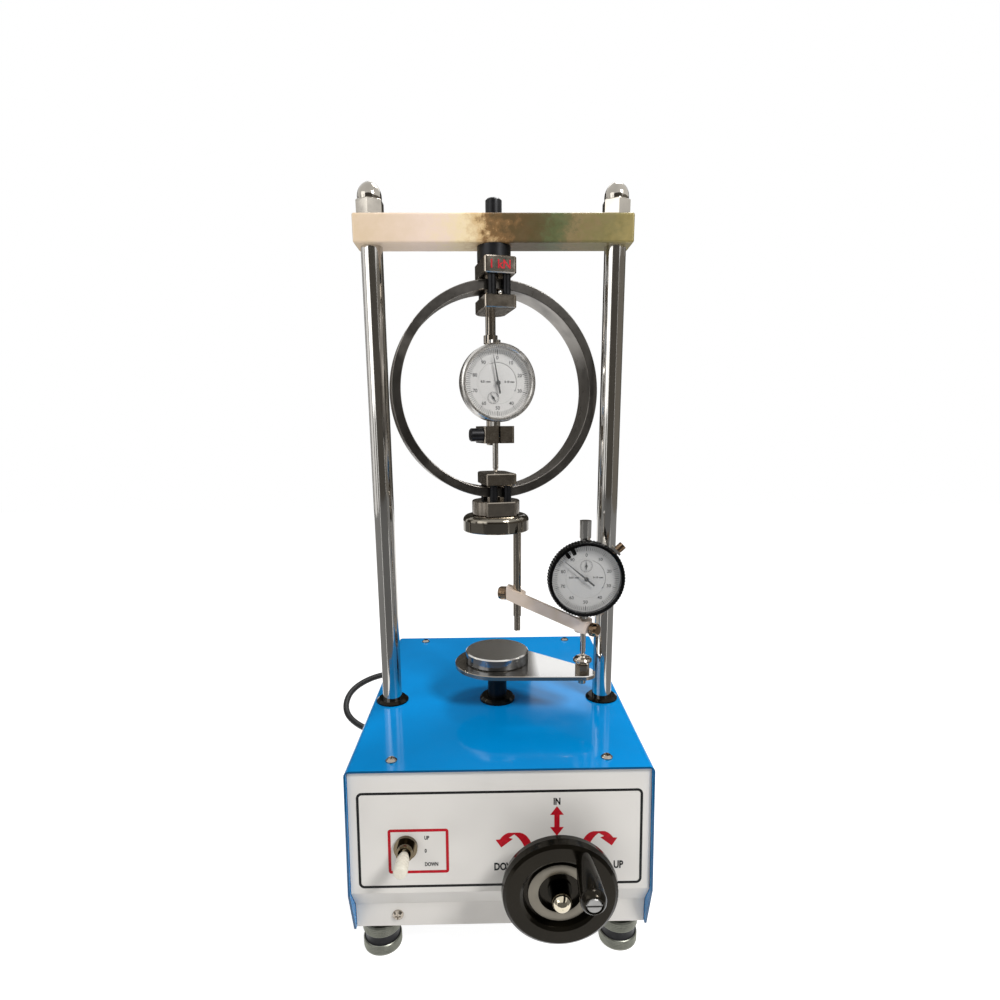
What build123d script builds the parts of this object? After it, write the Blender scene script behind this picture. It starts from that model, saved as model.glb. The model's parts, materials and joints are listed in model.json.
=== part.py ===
from build123d import *
from math import atan2, ceil, cos, degrees, hypot, pi, radians, sin, sqrt, tan
import os

# Unconfined compression tester: a bench load frame that squeezes a soil specimen between two platens.
# Millimetres. The floor is z = 0, +Y points to the rear, and the origin is under the middle of the box.

# Fits
run_gap = 0.05
touch_gap = 0.3
cut_over = 1.0

# Case
case_width = 214.0
case_depth = 270.0
case_height = 128.0
sheet = 1.5
cover_bend = 4.0
panel_lean = 9.0
panel_knee = 0.711 * case_height
panel_band = 0.14 * case_height
panel_step = 11.0
panel_inset = 2.5
flange_return = 2.0
lip_height = 14.0
base_thickness = 3.0
deck_thickness = 10.0
deck_side_gap = 8.0
post_diameter = 16.0
post_side = 20.0
post_inset = 42.0

# Case screws
screw_diameter = 4.0
screw_length = 9.0
screw_head_diameter = 8.0
screw_head = 2.4
top_screw_inset = 31.0
top_screw_front = 13.0
top_screw_rear = 12.0
strip_screw_inset = 32.0
rear_screw_inset = 19.0

# Levelling feet
foot_height = 28.0
foot_diameter = 29.0
foot_waist = 26.0
foot_neck = 18.0
foot_ring = 8.5
foot_neck_height = 4.0
foot_stud = 10.0
foot_stud_rise = 14.0
foot_inset = 17.0
foot_front = 20.0
foot_rear = 24.0

# Columns and beam
axis_setback = 112.0
column_inset = 17.0
column_diameter = 16.0
column_clear = 359.0
column_thread = 12.0
grommet_diameter = 27.0
grommet_height = 3.0
grommet_neck = 19.0
beam_overhang = 11.5
beam_depth = 24.0
beam_height = 20.0
beam_edge = 1.5
acorn_flats = 18.5
acorn_hex_height = 11.0
acorn_height = 24.0
acorn_bore_depth = 15.0
column_nut_reach = 13.0
hanger_diameter = 12.0
hanger_rise = 12.0
hanger_point = 1.0
hanger_collar_diameter = 25.0
hanger_collar = 10.5
hanger_seat = 8.0

# Proving ring
ring_yaw = 13.0
ring_column_gap = 2.0
ring_side_wall = 6.5
ring_end_wall = 7.3
ring_width = 24.0
block_width = 24.0
block_front = 20.5
block_front_corner = 2.0
block_rear_corner = 0.38 * block_width
block_boss_diameter = 38.0
block_edge = 0.7
outer_block_height = 11.5
inner_block_height = 9.2
seat_pad_diameter = 14.0
upper_outer_pad = 2.0
upper_inner_pad = 4.5
lower_inner_pad = 2.0
lower_outer_pad = 3.0
clamp_post_diameter = 6.0
clamp_post_spacing = 11.0
clamp_post_gap = 0.75
clamp_post_bite = 6.0

# Dial indicators
dial_case_radius = 27.0
dial_case_back = 7.0
dial_case_front = 6.5
dial_wall = 2.0
bezel_depth = 8.0
bezel_wall = 3.5
bezel_skirt = 2.2
face_thickness = 1.0
inner_dial_radius = 15.5
face_height = 1.0
crystal_thickness = 1.2
crystal_drop = 1.2
pointer_height = 3.2
pointer_thickness = 0.5
pointer_tail = 8.0
pointer_width = 1.4
pointer_margin = 5.0
counter_height = 1.6
counter_length = 4.2
arbor_diameter = 1.2
stem_diameter = 8.0
stem_length = 18.0
cap_diameter = 9.2
cap_clear = 0.6
plunger_diameter = 4.5
plunger_guide = 6.0
force_bezel_radius = dial_case_radius + 2.0
force_cap_height = 5.0
force_rise = 6.7
force_pointer_angle = 100.0
force_counter_x = -3.5
force_counter_y = -11.0
strain_bezel_radius = dial_case_radius + 3.0
strain_cap_height = 17.0
strain_plunger_show = 20.0
strain_pointer_angle = 140.0
strain_counter_x = 0.0
strain_counter_y = 10.0
marker_width = 5.0
marker_length = 6.0
marker_angles = (117.0, 133.0)
lock_screw_angle = 43.0
lock_screw_diameter = 6.0
lock_screw_length = 6.0
lock_bracket_width = 7.0
lock_bracket = 1.8

# Force dial hanger
hanger_rod_diameter = 8.0
hanger_rod_setback = 13.0
hanger_rod_seat = 2.8
hanger_rod_collar = 11.0
hanger_rod_collar_height = 6.0
hanger_rod_collar_drop = 15.0
stem_clamp_width = 24.0
stem_clamp_front = 14.0
stem_clamp_rear = 18.5
stem_clamp_height = 13.0
stem_clamp_slot = 1.5
stem_clamp_corner = 2.0
knob_diameter = 10.0
knob_length = 10.0
knob_screw_diameter = 4.0
knob_setback = 9.0

# Platens and lift
upper_platen_diameter = 53.0
upper_platen_height = 13.0
upper_platen_edge = 0.6
upper_platen_round = 4.5
support_rod_diameter = 6.4
support_rod_tip = 5.2
support_rod_tip_length = 12.0
support_rod_tail = 29.0
support_rod_seat = 6.0
support_rod_x = 16.4
support_rod_front = 16.0
lower_platen_diameter = 53.0
lower_platen_height = 10.0
lower_platen_edge = 1.0
anvil_plate_thickness = 3.5
anvil_plate_diameter = 71.0
anvil_plate_clear = 31.5
anvil_end_diameter = 21.0
anvil_x = 68.5
anvil_front = 27.0
anvil_screw_diameter = 6.0
anvil_head_diameter = 15.0
anvil_head_height = 7.4
anvil_nut_flats = 10.0
anvil_nut_height = 6.8
anvil_tail = 6.0
spindle_diameter = 16.0
spindle_spigot = 10.0
spindle_length = 128.0
bush_flange = 30.0
bush_flange_height = 4.0
bush_body = 24.0

# Dial arm
arm_thickness = 4.0
arm_height = 10.0
arm_rod_rise = 21.5
arm_boss_diameter = 13.0
arm_stem_boss = 14.0
arm_overhang = 8.0
arm_tip = 2.5
arm_corner = 2.5
thumb_diameter = 11.0
thumb_length = 7.5
thumb_shank = 4.0
thumb_shift = 2.0
stem_thumb_turn = 30.0

# Hand drive
wheel_x = 0.182 * case_width
wheel_drop = 0.57 * case_height
wheel_standoff = 34.0
wheel_diameter = 78.0
wheel_rim_width = 12.5
wheel_rim_height = 14.0
wheel_web = 5.0
wheel_web_drop = 4.5
wheel_ring_outer = 43.0
wheel_ring_inner = 29.0
wheel_hub_drop = 7.0
wheel_hub_length = 20.0
wheel_hub_diameter = 26.0
wheel_pull = 8.0
wheel_shaft_diameter = 12.0
wheel_nut_diameter = 13.0
wheel_nut_length = 18.0
crank_radius = 32.0
crank_angle = 63.0
handle_length = 40.0
handle_root_diameter = 10.5
handle_end_diameter = 16.0
handle_gap = 0.5
handle_recess = 2.5
crank_bolt_diameter = 6.0
crank_bolt_head = 10.0
crank_bolt_bite = 7.0
worm_diameter = 24.0
worm_length = 44.0
worm_neck = 18.0
worm_pitch = 8.0
worm_groove = 2.0
worm_wheel_gap = 0.6
worm_wheel_height = 16.0
worm_wheel_teeth = 20
worm_wheel_tooth = 2.5
bearing_wall = 10.0
bearing_wall_width = 40.0
bearing_wall_over = 18.0
bearing_gap = 0.3
housing_floor = 8.0
thrust_boss = 40.0
motor_diameter = 62.0
motor_length = 72.0
motor_foot_width = 70.0
motor_shaft_diameter = 8.0
clutch_diameter = 22.0
clutch_length = 8.0
clutch_gap = 0.5

# Toggle switch
switch_x = -0.308 * case_width
switch_drop = 0.445 * case_height
switch_body_width = 16.0
switch_body_height = 28.0
switch_body_depth = 24.0
switch_bush = 12.0
switch_bush_length = 9.0
switch_nut = 16.5
switch_nut_length = 3.0
switch_bore = 9.0
switch_pivot_depth = 1.0
lever_diameter = 9.6
lever_root_diameter = 6.4
lever_length = 27.0
lever_ball = switch_bore - 2 * run_gap
lever_neck = 3.5
lever_pin = 1.8

# Mains lead
cord_diameter = 7.0
gland_x = -0.336 * case_width
gland_rise = 60.0
gland_thread = 12.0
gland_nut = 19.0
gland_nut_length = 6.0
gland_sleeve_root = 13.5
gland_sleeve_tip = 9.5
gland_reach = 27.0
gland_inside = 10.0
coil_x = 40.0
coil_setback = 79.5
coil_outer = 44.5
coil_pitch = 7.6
coil_turns = 2.5
coil_tuck = 1.8
coil_tail = 48.0
cord_rest = 3.6
plug_length = 40.0
plug_width = 30.0
plug_height = 22.0
plug_neck = 12.0
pin_length = 18.0
pin_width = 6.4
pin_thickness = 1.6
pin_spread = 7.0

# Places across the case worked out from its width
column_x = case_width / 2 - column_inset
foot_x = case_width / 2 - foot_inset
post_x = case_width / 2 - post_side
top_screw_x = case_width / 2 - top_screw_inset
strip_screw_x = case_width / 2 - strip_screw_inset
rear_screw_x = case_width / 2 - rear_screw_inset
beam_length = 2 * (column_x + beam_overhang)
ring_radius = column_x - column_diameter / 2 - ring_column_gap

# Heights worked out from the sizes above
case_top = foot_height + case_height
deck_top = case_top - sheet
deck_bottom = deck_top - deck_thickness
base_top = foot_height + base_thickness
beam_bottom = case_top + column_clear
beam_top = beam_bottom + beam_height
upper_outer_top = beam_bottom - hanger_collar
upper_outer_bottom = upper_outer_top - outer_block_height
ring_z = upper_outer_bottom - upper_outer_pad - ring_radius
ring_bore_x = ring_radius - ring_side_wall
ring_bore_z = ring_radius - ring_end_wall
pad_sag = ring_bore_z * (1 - sqrt(1 - (seat_pad_diameter / 2 / ring_bore_x) ** 2)) + run_gap
upper_inner_top = ring_z + ring_bore_z - pad_sag - upper_inner_pad
upper_inner_bottom = upper_inner_top - inner_block_height
lower_inner_bottom = ring_z - ring_bore_z + pad_sag + lower_inner_pad
lower_inner_top = lower_inner_bottom + inner_block_height
lower_outer_top = ring_z - ring_radius - lower_outer_pad
lower_outer_bottom = lower_outer_top - outer_block_height
upper_platen_bottom = lower_outer_bottom - upper_platen_height
anvil_plate_bottom = case_top + anvil_plate_clear
anvil_plate_top = anvil_plate_bottom + anvil_plate_thickness
lower_platen_top = anvil_plate_top + lower_platen_height
anvil_nut_top = anvil_plate_top + anvil_nut_height
anvil_top = anvil_nut_top + anvil_head_height
force_z = ring_z + force_rise
force_plunger_show = force_z - dial_case_radius - stem_length - lower_inner_top - touch_gap
strain_z = anvil_top + touch_gap + strain_plunger_show + stem_length + dial_case_radius
stem_clamp_bottom = force_z - dial_case_radius - stem_length + run_gap
wheel_z = case_top - wheel_drop
gland_z = foot_height + gland_rise
housing_top = base_top + housing_floor

# Depths worked out from the sizes above
front_reach = wheel_standoff + handle_gap + handle_length
case_front = (front_reach - case_depth - screw_head) / 2
case_rear = case_front + case_depth
coil_y = case_rear + coil_setback
wheel_front = case_front - wheel_standoff
axis_y = case_front + axis_setback
knee_y = case_front - panel_lean
knee_z = case_top - panel_knee
strip_y = knee_y + panel_inset + panel_step
strip_top = knee_z - panel_band
lip_y = strip_y + sheet
rear_inner = case_rear - sheet
lean_angle = degrees(atan2(panel_lean, panel_knee))
inner_half = case_width / 2 - sheet - touch_gap

# Frames: upright ones have Z up, facing ones have Z towards the operator
ring_right = (cos(radians(ring_yaw)), sin(radians(ring_yaw)), 0)
ring_front = (sin(radians(ring_yaw)), -cos(radians(ring_yaw)), 0)
ring_frame = Plane((0, axis_y, 0), x_dir=ring_right, z_dir=(0, 0, 1))
ring_face = Plane((0, axis_y, ring_z), x_dir=ring_right, z_dir=ring_front)
force_face = Plane((0, axis_y, force_z), x_dir=ring_right, z_dir=ring_front)
strain_y = axis_y - anvil_front
strain_face = Plane((anvil_x, strain_y, strain_z), x_dir=(1, 0, 0), z_dir=(0, -1, 0))
lift_frame = Plane((0, axis_y, 0))
panel_frame = Plane(
    (0, case_front + panel_inset, case_top),
    x_dir=(1, 0, 0),
    z_dir=(0, -cos(radians(lean_angle)), sin(radians(lean_angle))),
)
switch_face = Plane(
    panel_frame.from_local_coords((switch_x, -switch_drop, 0)),
    x_dir=panel_frame.x_dir,
    z_dir=panel_frame.z_dir,
)
wheel_face = Plane((wheel_x, wheel_front, wheel_z), x_dir=(1, 0, 0), z_dir=(0, -1, 0))
crank_x = wheel_x + crank_radius * cos(radians(crank_angle))
crank_z = wheel_z + crank_radius * sin(radians(crank_angle))
crank_face = Plane((crank_x, wheel_front, crank_z), x_dir=(1, 0, 0), z_dir=(0, -1, 0))
rod_point = (support_rod_x, axis_y - support_rod_front, 0)
arm_span = hypot(anvil_x - support_rod_x, anvil_front - support_rod_front)
arm_right = ((anvil_x - support_rod_x) / arm_span, (support_rod_front - anvil_front) / arm_span, 0)
arm_front = (arm_right[1], -arm_right[0], 0)
arm_stem_z = strain_z - dial_case_radius - stem_length + arm_height / 2 + run_gap
arm_rod_z = arm_stem_z + arm_rod_rise
arm_side = Plane(rod_point, x_dir=arm_right, z_dir=arm_front)
arm_slope = arm_rod_rise / arm_span
stem_thumb_way = [
    right * cos(radians(stem_thumb_turn)) + front * sin(radians(stem_thumb_turn))
    for right, front in zip(arm_right, arm_front)
]


def half_section(frame, *points):
    """Face of a turned piece: points are (radius, height) about the frame's Z axis."""
    with BuildSketch(Plane(frame.origin, x_dir=frame.x_dir, z_dir=-frame.y_dir)) as section:
        with BuildLine():
            Polyline(*points, close=True)
        make_face()
    return section.sketch


def axis_of(frame):
    """The Z axis of a frame, to turn a half section about."""
    return Axis(frame.origin, frame.z_dir)


def moved(frame, x=0.0, y=0.0, z=0.0):
    """The same frame with its origin shifted in its own directions."""
    return Plane(frame.from_local_coords((x, y, z)), x_dir=frame.x_dir, z_dir=frame.z_dir)


def save(piece, name):
    """Label a finished piece and write its file."""
    piece.label = name
    export_step(piece, f"parts/{name}.step")


def pan_screw(frame):
    """Pan head screw: the frame lies on the seat, with Z out of the head."""
    head = screw_head_diameter / 2
    shank = screw_diameter / 2
    with BuildPart() as screw:
        revolve(
            half_section(
                frame, (0, -screw_length), (shank, -screw_length), (shank, 0), (head, 0),
                (head, 0.4 * screw_head), (0.6 * head, screw_head), (0, screw_head),
            ),
            axis=axis_of(frame),
        )
        with BuildSketch(moved(frame, z=screw_head)):
            Rectangle(1.1 * head, 0.22 * head)
            Rectangle(0.22 * head, 1.1 * head)
        extrude(amount=-screw_head / 2, mode=Mode.SUBTRACT)
    return screw.part


def levelling_foot(name, x, y):
    """Knurled foot with its stud standing up through the base plate."""
    wide = foot_diameter / 2
    waist = foot_waist / 2
    neck = foot_neck / 2
    stud = foot_stud / 2
    shoulder = foot_height - foot_neck_height
    edge = 0.8
    with BuildPart() as foot:
        revolve(
            half_section(
                Plane((x, y, 0)), (0, 0), (wide - edge, 0), (wide, edge), (wide, foot_ring),
                (waist, foot_ring), (waist, shoulder - foot_ring), (wide, shoulder - foot_ring),
                (wide, shoulder - edge), (wide - edge, shoulder), (neck, shoulder), (neck, foot_height),
                (stud, foot_height), (stud, base_top + foot_stud_rise), (0, base_top + foot_stud_rise),
            ),
            axis=axis_of(Plane((x, y, 0))),
        )
    save(foot.part, name)


os.makedirs("parts", exist_ok=True)

# Case cover: folded sheet over the top and both sides, its front edges cut to the panel's outline
spindle_hole = bush_body / 2 + run_gap
grommet_hole = grommet_neck / 2 + run_gap
top_screw_places = [
    (side * top_screw_x, place, case_top)
    for side in (-1, 1)
    for place in (case_front + top_screw_front, case_rear - top_screw_rear)
]
with BuildPart() as case_cover:
    with BuildSketch(Plane.XZ.offset(-case_rear)) as cover_section:
        with Locations((0, foot_height)):
            Rectangle(case_width, case_height, align=(Align.CENTER, Align.MIN))
        fillet(cover_section.vertices().group_by(Axis.Y)[-1], cover_bend)
        with Locations((0, foot_height)):
            Rectangle(
                case_width - 2 * sheet, case_height - sheet,
                align=(Align.CENTER, Align.MIN), mode=Mode.SUBTRACT,
            )
    extrude(amount=case_depth + panel_lean)
    with BuildSketch(Plane.YZ):
        with BuildLine():
            Polyline(
                (case_front, case_top + cut_over), (case_front, case_top), (knee_y, knee_z),
                (case_front + flange_return, foot_height),
                (case_front + flange_return, foot_height - cut_over),
                (knee_y - cut_over, foot_height - cut_over), (knee_y - cut_over, case_top + cut_over),
                close=True,
            )
        make_face()
    extrude(amount=case_width, both=True, mode=Mode.SUBTRACT)
    with Locations((-column_x, axis_y, case_top), (column_x, axis_y, case_top)):
        Hole(grommet_hole, depth=2 * sheet)
    with Locations((0, axis_y, case_top)):
        Hole(spindle_hole, depth=2 * sheet)
    with Locations(*top_screw_places):
        Hole(screw_diameter / 2 + run_gap, depth=2 * sheet)
save(case_cover.part, "case_cover")

# Front panel: leaning face, band that slopes back under it, and set-back lower strip
shaft_hole = wheel_shaft_diameter / 2 + 4 * touch_gap
panel_top_z = deck_top - touch_gap
panel_top_y = case_front + panel_inset - panel_lean * (case_top - panel_top_z) / panel_knee
panel_outline = [
    (panel_top_y, panel_top_z), (knee_y + panel_inset, knee_z), (strip_y, strip_top),
    (strip_y, foot_height),
]
strip_screw_z = foot_height + (strip_top - foot_height) / 2
with BuildPart() as front_panel:
    with BuildSketch(Plane.YZ):
        with BuildLine():
            Polyline(*panel_outline, *[(y + sheet, z) for y, z in reversed(panel_outline)], close=True)
        make_face()
    extrude(amount=inner_half, both=True)
    with BuildSketch(Plane.XZ.offset(-case_front - panel_inset - sheet)):
        with Locations((wheel_x, wheel_z)):
            Circle(shaft_hole)
    extrude(amount=panel_lean + 2 * sheet, mode=Mode.SUBTRACT)
    with BuildSketch(switch_face.offset(cut_over)):
        Circle(switch_bush / 2 + run_gap)
    extrude(amount=-2 * sheet - cut_over, mode=Mode.SUBTRACT)
    with BuildSketch(Plane.XZ.offset(-lip_y)):
        with Locations((-strip_screw_x, strip_screw_z), (strip_screw_x, strip_screw_z)):
            Circle(screw_diameter / 2 + run_gap)
    extrude(amount=2 * sheet, mode=Mode.SUBTRACT)
save(front_panel.part, "front_panel")

# Rear panel: flat sheet that closes the back, with the lead's hole and a row of vent slots
rear_screw_z = (base_top + lip_height / 2, deck_bottom + deck_thickness / 2)
slot_count = 7
slot_pitch = 9.0
slot_length = 36.0
slot_width = 3.0
with BuildPart() as rear_panel:
    with BuildSketch(Plane.XZ.offset(-case_rear)):
        with Locations((0, base_top)):
            Rectangle(2 * inner_half, panel_top_z - base_top, align=(Align.CENTER, Align.MIN))
        with Locations((gland_x, gland_z)):
            Circle(gland_thread / 2 + run_gap, mode=Mode.SUBTRACT)
        with Locations(*[(side * rear_screw_x, z) for side in (-1, 1) for z in rear_screw_z]):
            Circle(screw_diameter / 2 + run_gap, mode=Mode.SUBTRACT)
        with Locations((wheel_x, gland_z)):
            with GridLocations(slot_pitch, 0, slot_count, 1):
                SlotOverall(slot_length, slot_width, rotation=90, mode=Mode.SUBTRACT)
    extrude(amount=sheet)
save(rear_panel.part, "rear_panel")

# Base plate: carries the feet, the posts and the drive, with lips that take the panels' screws
foot_places = [
    (side * foot_x, y) for side in (-1, 1) for y in (case_front + foot_front, case_rear - foot_rear)
]
base_half = inner_half - touch_gap
with BuildPart() as base_plate:
    with BuildSketch(Plane.XY.offset(foot_height)):
        with Locations((0, lip_y)):
            Rectangle(2 * base_half, rear_inner - lip_y, align=(Align.CENTER, Align.MIN))
        with Locations(*foot_places):
            Circle(foot_stud / 2 + run_gap, mode=Mode.SUBTRACT)
    extrude(amount=base_thickness)
    with BuildSketch(Plane.XY.offset(base_top)):
        with Locations((0, lip_y)):
            Rectangle(2 * base_half, sheet, align=(Align.CENTER, Align.MIN))
        with Locations((0, rear_inner)):
            Rectangle(2 * base_half, sheet, align=(Align.CENTER, Align.MAX))
    extrude(amount=lip_height)
    with BuildSketch(Plane.XZ.offset(-rear_inner - cut_over)):
        with Locations(*[(side * rear_screw_x, rear_screw_z[0]) for side in (-1, 1)]):
            Circle(screw_diameter / 2)
    extrude(amount=sheet + 2 * cut_over, mode=Mode.SUBTRACT)
    with BuildSketch(Plane.XZ.offset(-lip_y - sheet - cut_over)):
        with Locations((-strip_screw_x, strip_screw_z), (strip_screw_x, strip_screw_z)):
            Circle(screw_diameter / 2)
    extrude(amount=sheet + 2 * cut_over, mode=Mode.SUBTRACT)
save(base_plate.part, "base_plate")

# Deck plate: thick plate under the cover that holds the columns and the spindle bush
deck_half = case_width / 2 - deck_side_gap
deck_front = case_front + panel_inset + sheet + touch_gap
post_places = [
    (side * post_x, y) for side in (-1, 1) for y in (deck_front + post_inset, rear_inner - post_inset)
]
with BuildPart() as deck_plate:
    with BuildSketch(Plane.XY.offset(deck_bottom)):
        with Locations((0, deck_front)):
            Rectangle(2 * deck_half, rear_inner - deck_front, align=(Align.CENTER, Align.MIN))
        with Locations((0, axis_y)):
            Circle(spindle_hole, mode=Mode.SUBTRACT)
            with Locations((-column_x, 0), (column_x, 0)):
                Circle(column_thread / 2 + run_gap, mode=Mode.SUBTRACT)
    extrude(amount=deck_thickness)
    with Locations(*[(x, y, deck_top) for x, y, z in top_screw_places]):
        Hole(screw_diameter / 2, depth=screw_length)
    with BuildSketch(Plane.XZ.offset(-rear_inner)):
        with Locations(*[(side * rear_screw_x, rear_screw_z[1]) for side in (-1, 1)]):
            Circle(screw_diameter / 2)
    extrude(amount=screw_length, mode=Mode.SUBTRACT)
save(deck_plate.part, "deck_plate")

# Posts that stand on the base plate and carry the deck
with BuildPart() as deck_posts:
    with BuildSketch(Plane.XY.offset(base_top)):
        with Locations(*post_places):
            Circle(post_diameter / 2)
    extrude(amount=deck_bottom - base_top)
save(deck_posts.part, "deck_posts")

# Pan head screws of the cover, the lower strip and the rear panel
case_screws = [pan_screw(Plane(place)) for place in top_screw_places]
for side in (-1, 1):
    strip_place = (side * strip_screw_x, strip_y, strip_screw_z)
    case_screws.append(pan_screw(Plane(strip_place, x_dir=(1, 0, 0), z_dir=(0, -1, 0))))
    for z in rear_screw_z:
        rear_place = (side * rear_screw_x, case_rear, z)
        case_screws.append(pan_screw(Plane(rear_place, x_dir=(1, 0, 0), z_dir=(0, 1, 0))))
save(Compound(children=case_screws), "case_screws")

# Levelling feet
for foot_name, foot_place in zip(
    ("foot_front_left", "foot_rear_left", "foot_front_right", "foot_rear_right"), foot_places
):
    levelling_foot(foot_name, *foot_place)

# Columns: polished bars with a threaded end in the deck and another through the beam
for column_name, side in (("left_column", -1), ("right_column", 1)):
    column_frame = Plane((side * column_x, axis_y, 0))
    bar = column_diameter / 2
    thread = column_thread / 2
    with BuildPart() as column:
        revolve(
            half_section(
                column_frame, (0, deck_bottom), (thread, deck_bottom), (thread, deck_top), (bar, deck_top),
                (bar, beam_bottom), (thread, beam_bottom), (thread, beam_top + column_nut_reach),
                (0, beam_top + column_nut_reach),
            ),
            axis=axis_of(column_frame),
        )
    save(column.part, column_name)

# Black rings round the column feet, and the flanged bush that guides the spindle
top_bushes = []
for side in (-1, 1):
    grommet_frame = Plane((side * column_x, axis_y, case_top))
    hole = column_diameter / 2 + run_gap
    wide = grommet_diameter / 2
    neck = grommet_neck / 2
    with BuildPart() as grommet:
        revolve(
            half_section(
                grommet_frame, (hole, -sheet), (neck, -sheet), (neck, 0), (wide, 0),
                (wide, 0.4 * grommet_height), (0.85 * wide, grommet_height), (hole, grommet_height),
            ),
            axis=axis_of(grommet_frame),
        )
    top_bushes.append(grommet.part)
bush_hole = spindle_diameter / 2 + run_gap
bush_frame = Plane((0, axis_y, case_top))
with BuildPart() as spindle_bush:
    revolve(
        half_section(
            bush_frame, (bush_hole, -sheet - deck_thickness), (bush_body / 2, -sheet - deck_thickness),
            (bush_body / 2, 0), (bush_flange / 2, 0), (bush_flange / 2, 0.5 * bush_flange_height),
            (0.88 * bush_flange / 2, bush_flange_height), (bush_hole, bush_flange_height),
        ),
        axis=axis_of(bush_frame),
    )
top_bushes.append(spindle_bush.part)
save(Compound(children=top_bushes), "top_bushes")

# Crossbeam
with BuildPart() as crossbeam:
    with Locations((0, axis_y, beam_bottom)):
        Box(beam_length, beam_depth, beam_height, align=(Align.CENTER, Align.CENTER, Align.MIN))
    fillet(crossbeam.edges(), beam_edge)
    with Locations((-column_x, axis_y, beam_top), (column_x, axis_y, beam_top)):
        Hole(column_thread / 2 + run_gap)
    with Locations((0, axis_y, beam_top)):
        Hole(hanger_diameter / 2 + run_gap)
save(crossbeam.part, "crossbeam")

# Acorn nuts on the column ends
acorn_nuts = []
for side in (-1, 1):
    acorn_frame = Plane((side * column_x, axis_y, beam_top))
    dome = 0.94 * acorn_flats / 2
    bore = column_thread / 2 + run_gap
    with BuildPart() as acorn_nut:
        with BuildSketch(acorn_frame):
            RegularPolygon(acorn_flats / 2, 6, major_radius=False, rotation=30)
        extrude(amount=acorn_hex_height)
        chamfer(acorn_nut.edges().group_by(Axis.Z)[-1], 0.8)
        with BuildSketch(Plane(acorn_frame.origin, x_dir=(1, 0, 0), z_dir=(0, -1, 0))):
            with BuildLine():
                Line((0, 0), (dome, 0))
                Line((dome, 0), (dome, acorn_hex_height))
                ThreePointArc(
                    (dome, acorn_hex_height),
                    (0.72 * dome, acorn_hex_height + 0.72 * (acorn_height - acorn_hex_height)),
                    (0, acorn_height),
                )
                Line((0, acorn_height), (0, 0))
            make_face()
        revolve(axis=axis_of(acorn_frame))
        with Locations(acorn_frame):
            Cylinder(
                bore, acorn_bore_depth,
                align=(Align.CENTER, Align.CENTER, Align.MIN), mode=Mode.SUBTRACT,
            )
    acorn_nuts.append(acorn_nut.part)
save(Compound(children=acorn_nuts), "acorn_nuts")

# Hanger stud: black screw through the beam, with the collar that locks it from below
with BuildPart() as hanger_stud:
    revolve(
        half_section(
            lift_frame, (0, upper_outer_top - hanger_seat),
            (hanger_diameter / 2, upper_outer_top - hanger_seat), (hanger_diameter / 2, upper_outer_top),
            (hanger_collar_diameter / 2, upper_outer_top), (hanger_collar_diameter / 2, beam_bottom),
            (hanger_diameter / 2, beam_bottom), (hanger_diameter / 2, beam_top + hanger_rise - hanger_point),
            (hanger_diameter / 2 - hanger_point, beam_top + hanger_rise), (0, beam_top + hanger_rise),
        ),
        axis=axis_of(lift_frame),
    )
save(hanger_stud.part, "hanger_stud")

# Proving ring: thicker where it is loaded, at the top and the bottom
with BuildPart() as proving_ring:
    with BuildSketch(ring_face.offset(-ring_width / 2)):
        Circle(ring_radius)
        Ellipse(ring_bore_x, ring_bore_z, mode=Mode.SUBTRACT)
    extrude(amount=ring_width)
    fillet(proving_ring.edges(), 0.6)
save(proving_ring.part, "proving_ring")

# Blocks that grip the ring: each pair is drawn together by posts in front of and behind the ring
spot_y = ring_width / 2 + clamp_post_gap + clamp_post_diameter / 2
spot_x = clamp_post_spacing / 2
post_spots = [(x, y) for x in (-spot_x, spot_x) for y in (-spot_y, spot_y)]


def ring_block(bottom, height, pad_from, pad_height, boss):
    """Block with a rounded rear, holes for the clamp posts and a pad that bears on the ring."""
    with BuildPart() as block:
        with BuildSketch(moved(ring_frame, z=bottom)) as outline:
            Rectangle(block_width, 2 * block_front)
            fillet(outline.vertices().group_by(Axis.Y)[0], block_front_corner)
            fillet(outline.vertices().group_by(Axis.Y)[-1], block_rear_corner)
            if boss:
                Circle(block_boss_diameter / 2)
        extrude(amount=height)
        chamfer(block.faces().filter_by(Axis.Z).edges(), block_edge)
        with BuildSketch(moved(ring_frame, z=pad_from)):
            Circle(seat_pad_diameter / 2)
        extrude(amount=pad_height)
        with BuildSketch(moved(ring_frame, z=bottom if pad_from < bottom + height / 2 else bottom + height)):
            with Locations(*post_spots):
                Circle(clamp_post_diameter / 2 + run_gap)
        extrude(
            amount=clamp_post_bite if pad_from < bottom + height / 2 else -clamp_post_bite,
            mode=Mode.SUBTRACT,
        )
    return block


upper_outer = ring_block(
    upper_outer_bottom, outer_block_height, upper_outer_bottom - upper_outer_pad, upper_outer_pad, False
)
with BuildPart() as upper_outer_block:
    add(upper_outer.part)
    with Locations((0, axis_y, upper_outer_top)):
        Hole(hanger_diameter / 2 + run_gap, depth=hanger_seat + run_gap)
upper_inner = ring_block(upper_inner_bottom, inner_block_height, upper_inner_top, upper_inner_pad, False)
with BuildPart() as upper_inner_block:
    add(upper_inner.part)
    with BuildSketch(moved(ring_frame, y=hanger_rod_setback, z=upper_inner_bottom)):
        Circle(hanger_rod_diameter / 2 + run_gap)
    extrude(amount=hanger_rod_seat, mode=Mode.SUBTRACT)
lower_inner_block = ring_block(
    lower_inner_bottom, inner_block_height, lower_inner_bottom - lower_inner_pad, lower_inner_pad, False
)
lower_outer_block = ring_block(
    lower_outer_bottom, outer_block_height, lower_outer_top, lower_outer_pad, True
)
save(Compound(children=[upper_outer_block.part, upper_inner_block.part]), "upper_ring_blocks")
save(Compound(children=[lower_inner_block.part, lower_outer_block.part]), "lower_ring_blocks")

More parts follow.
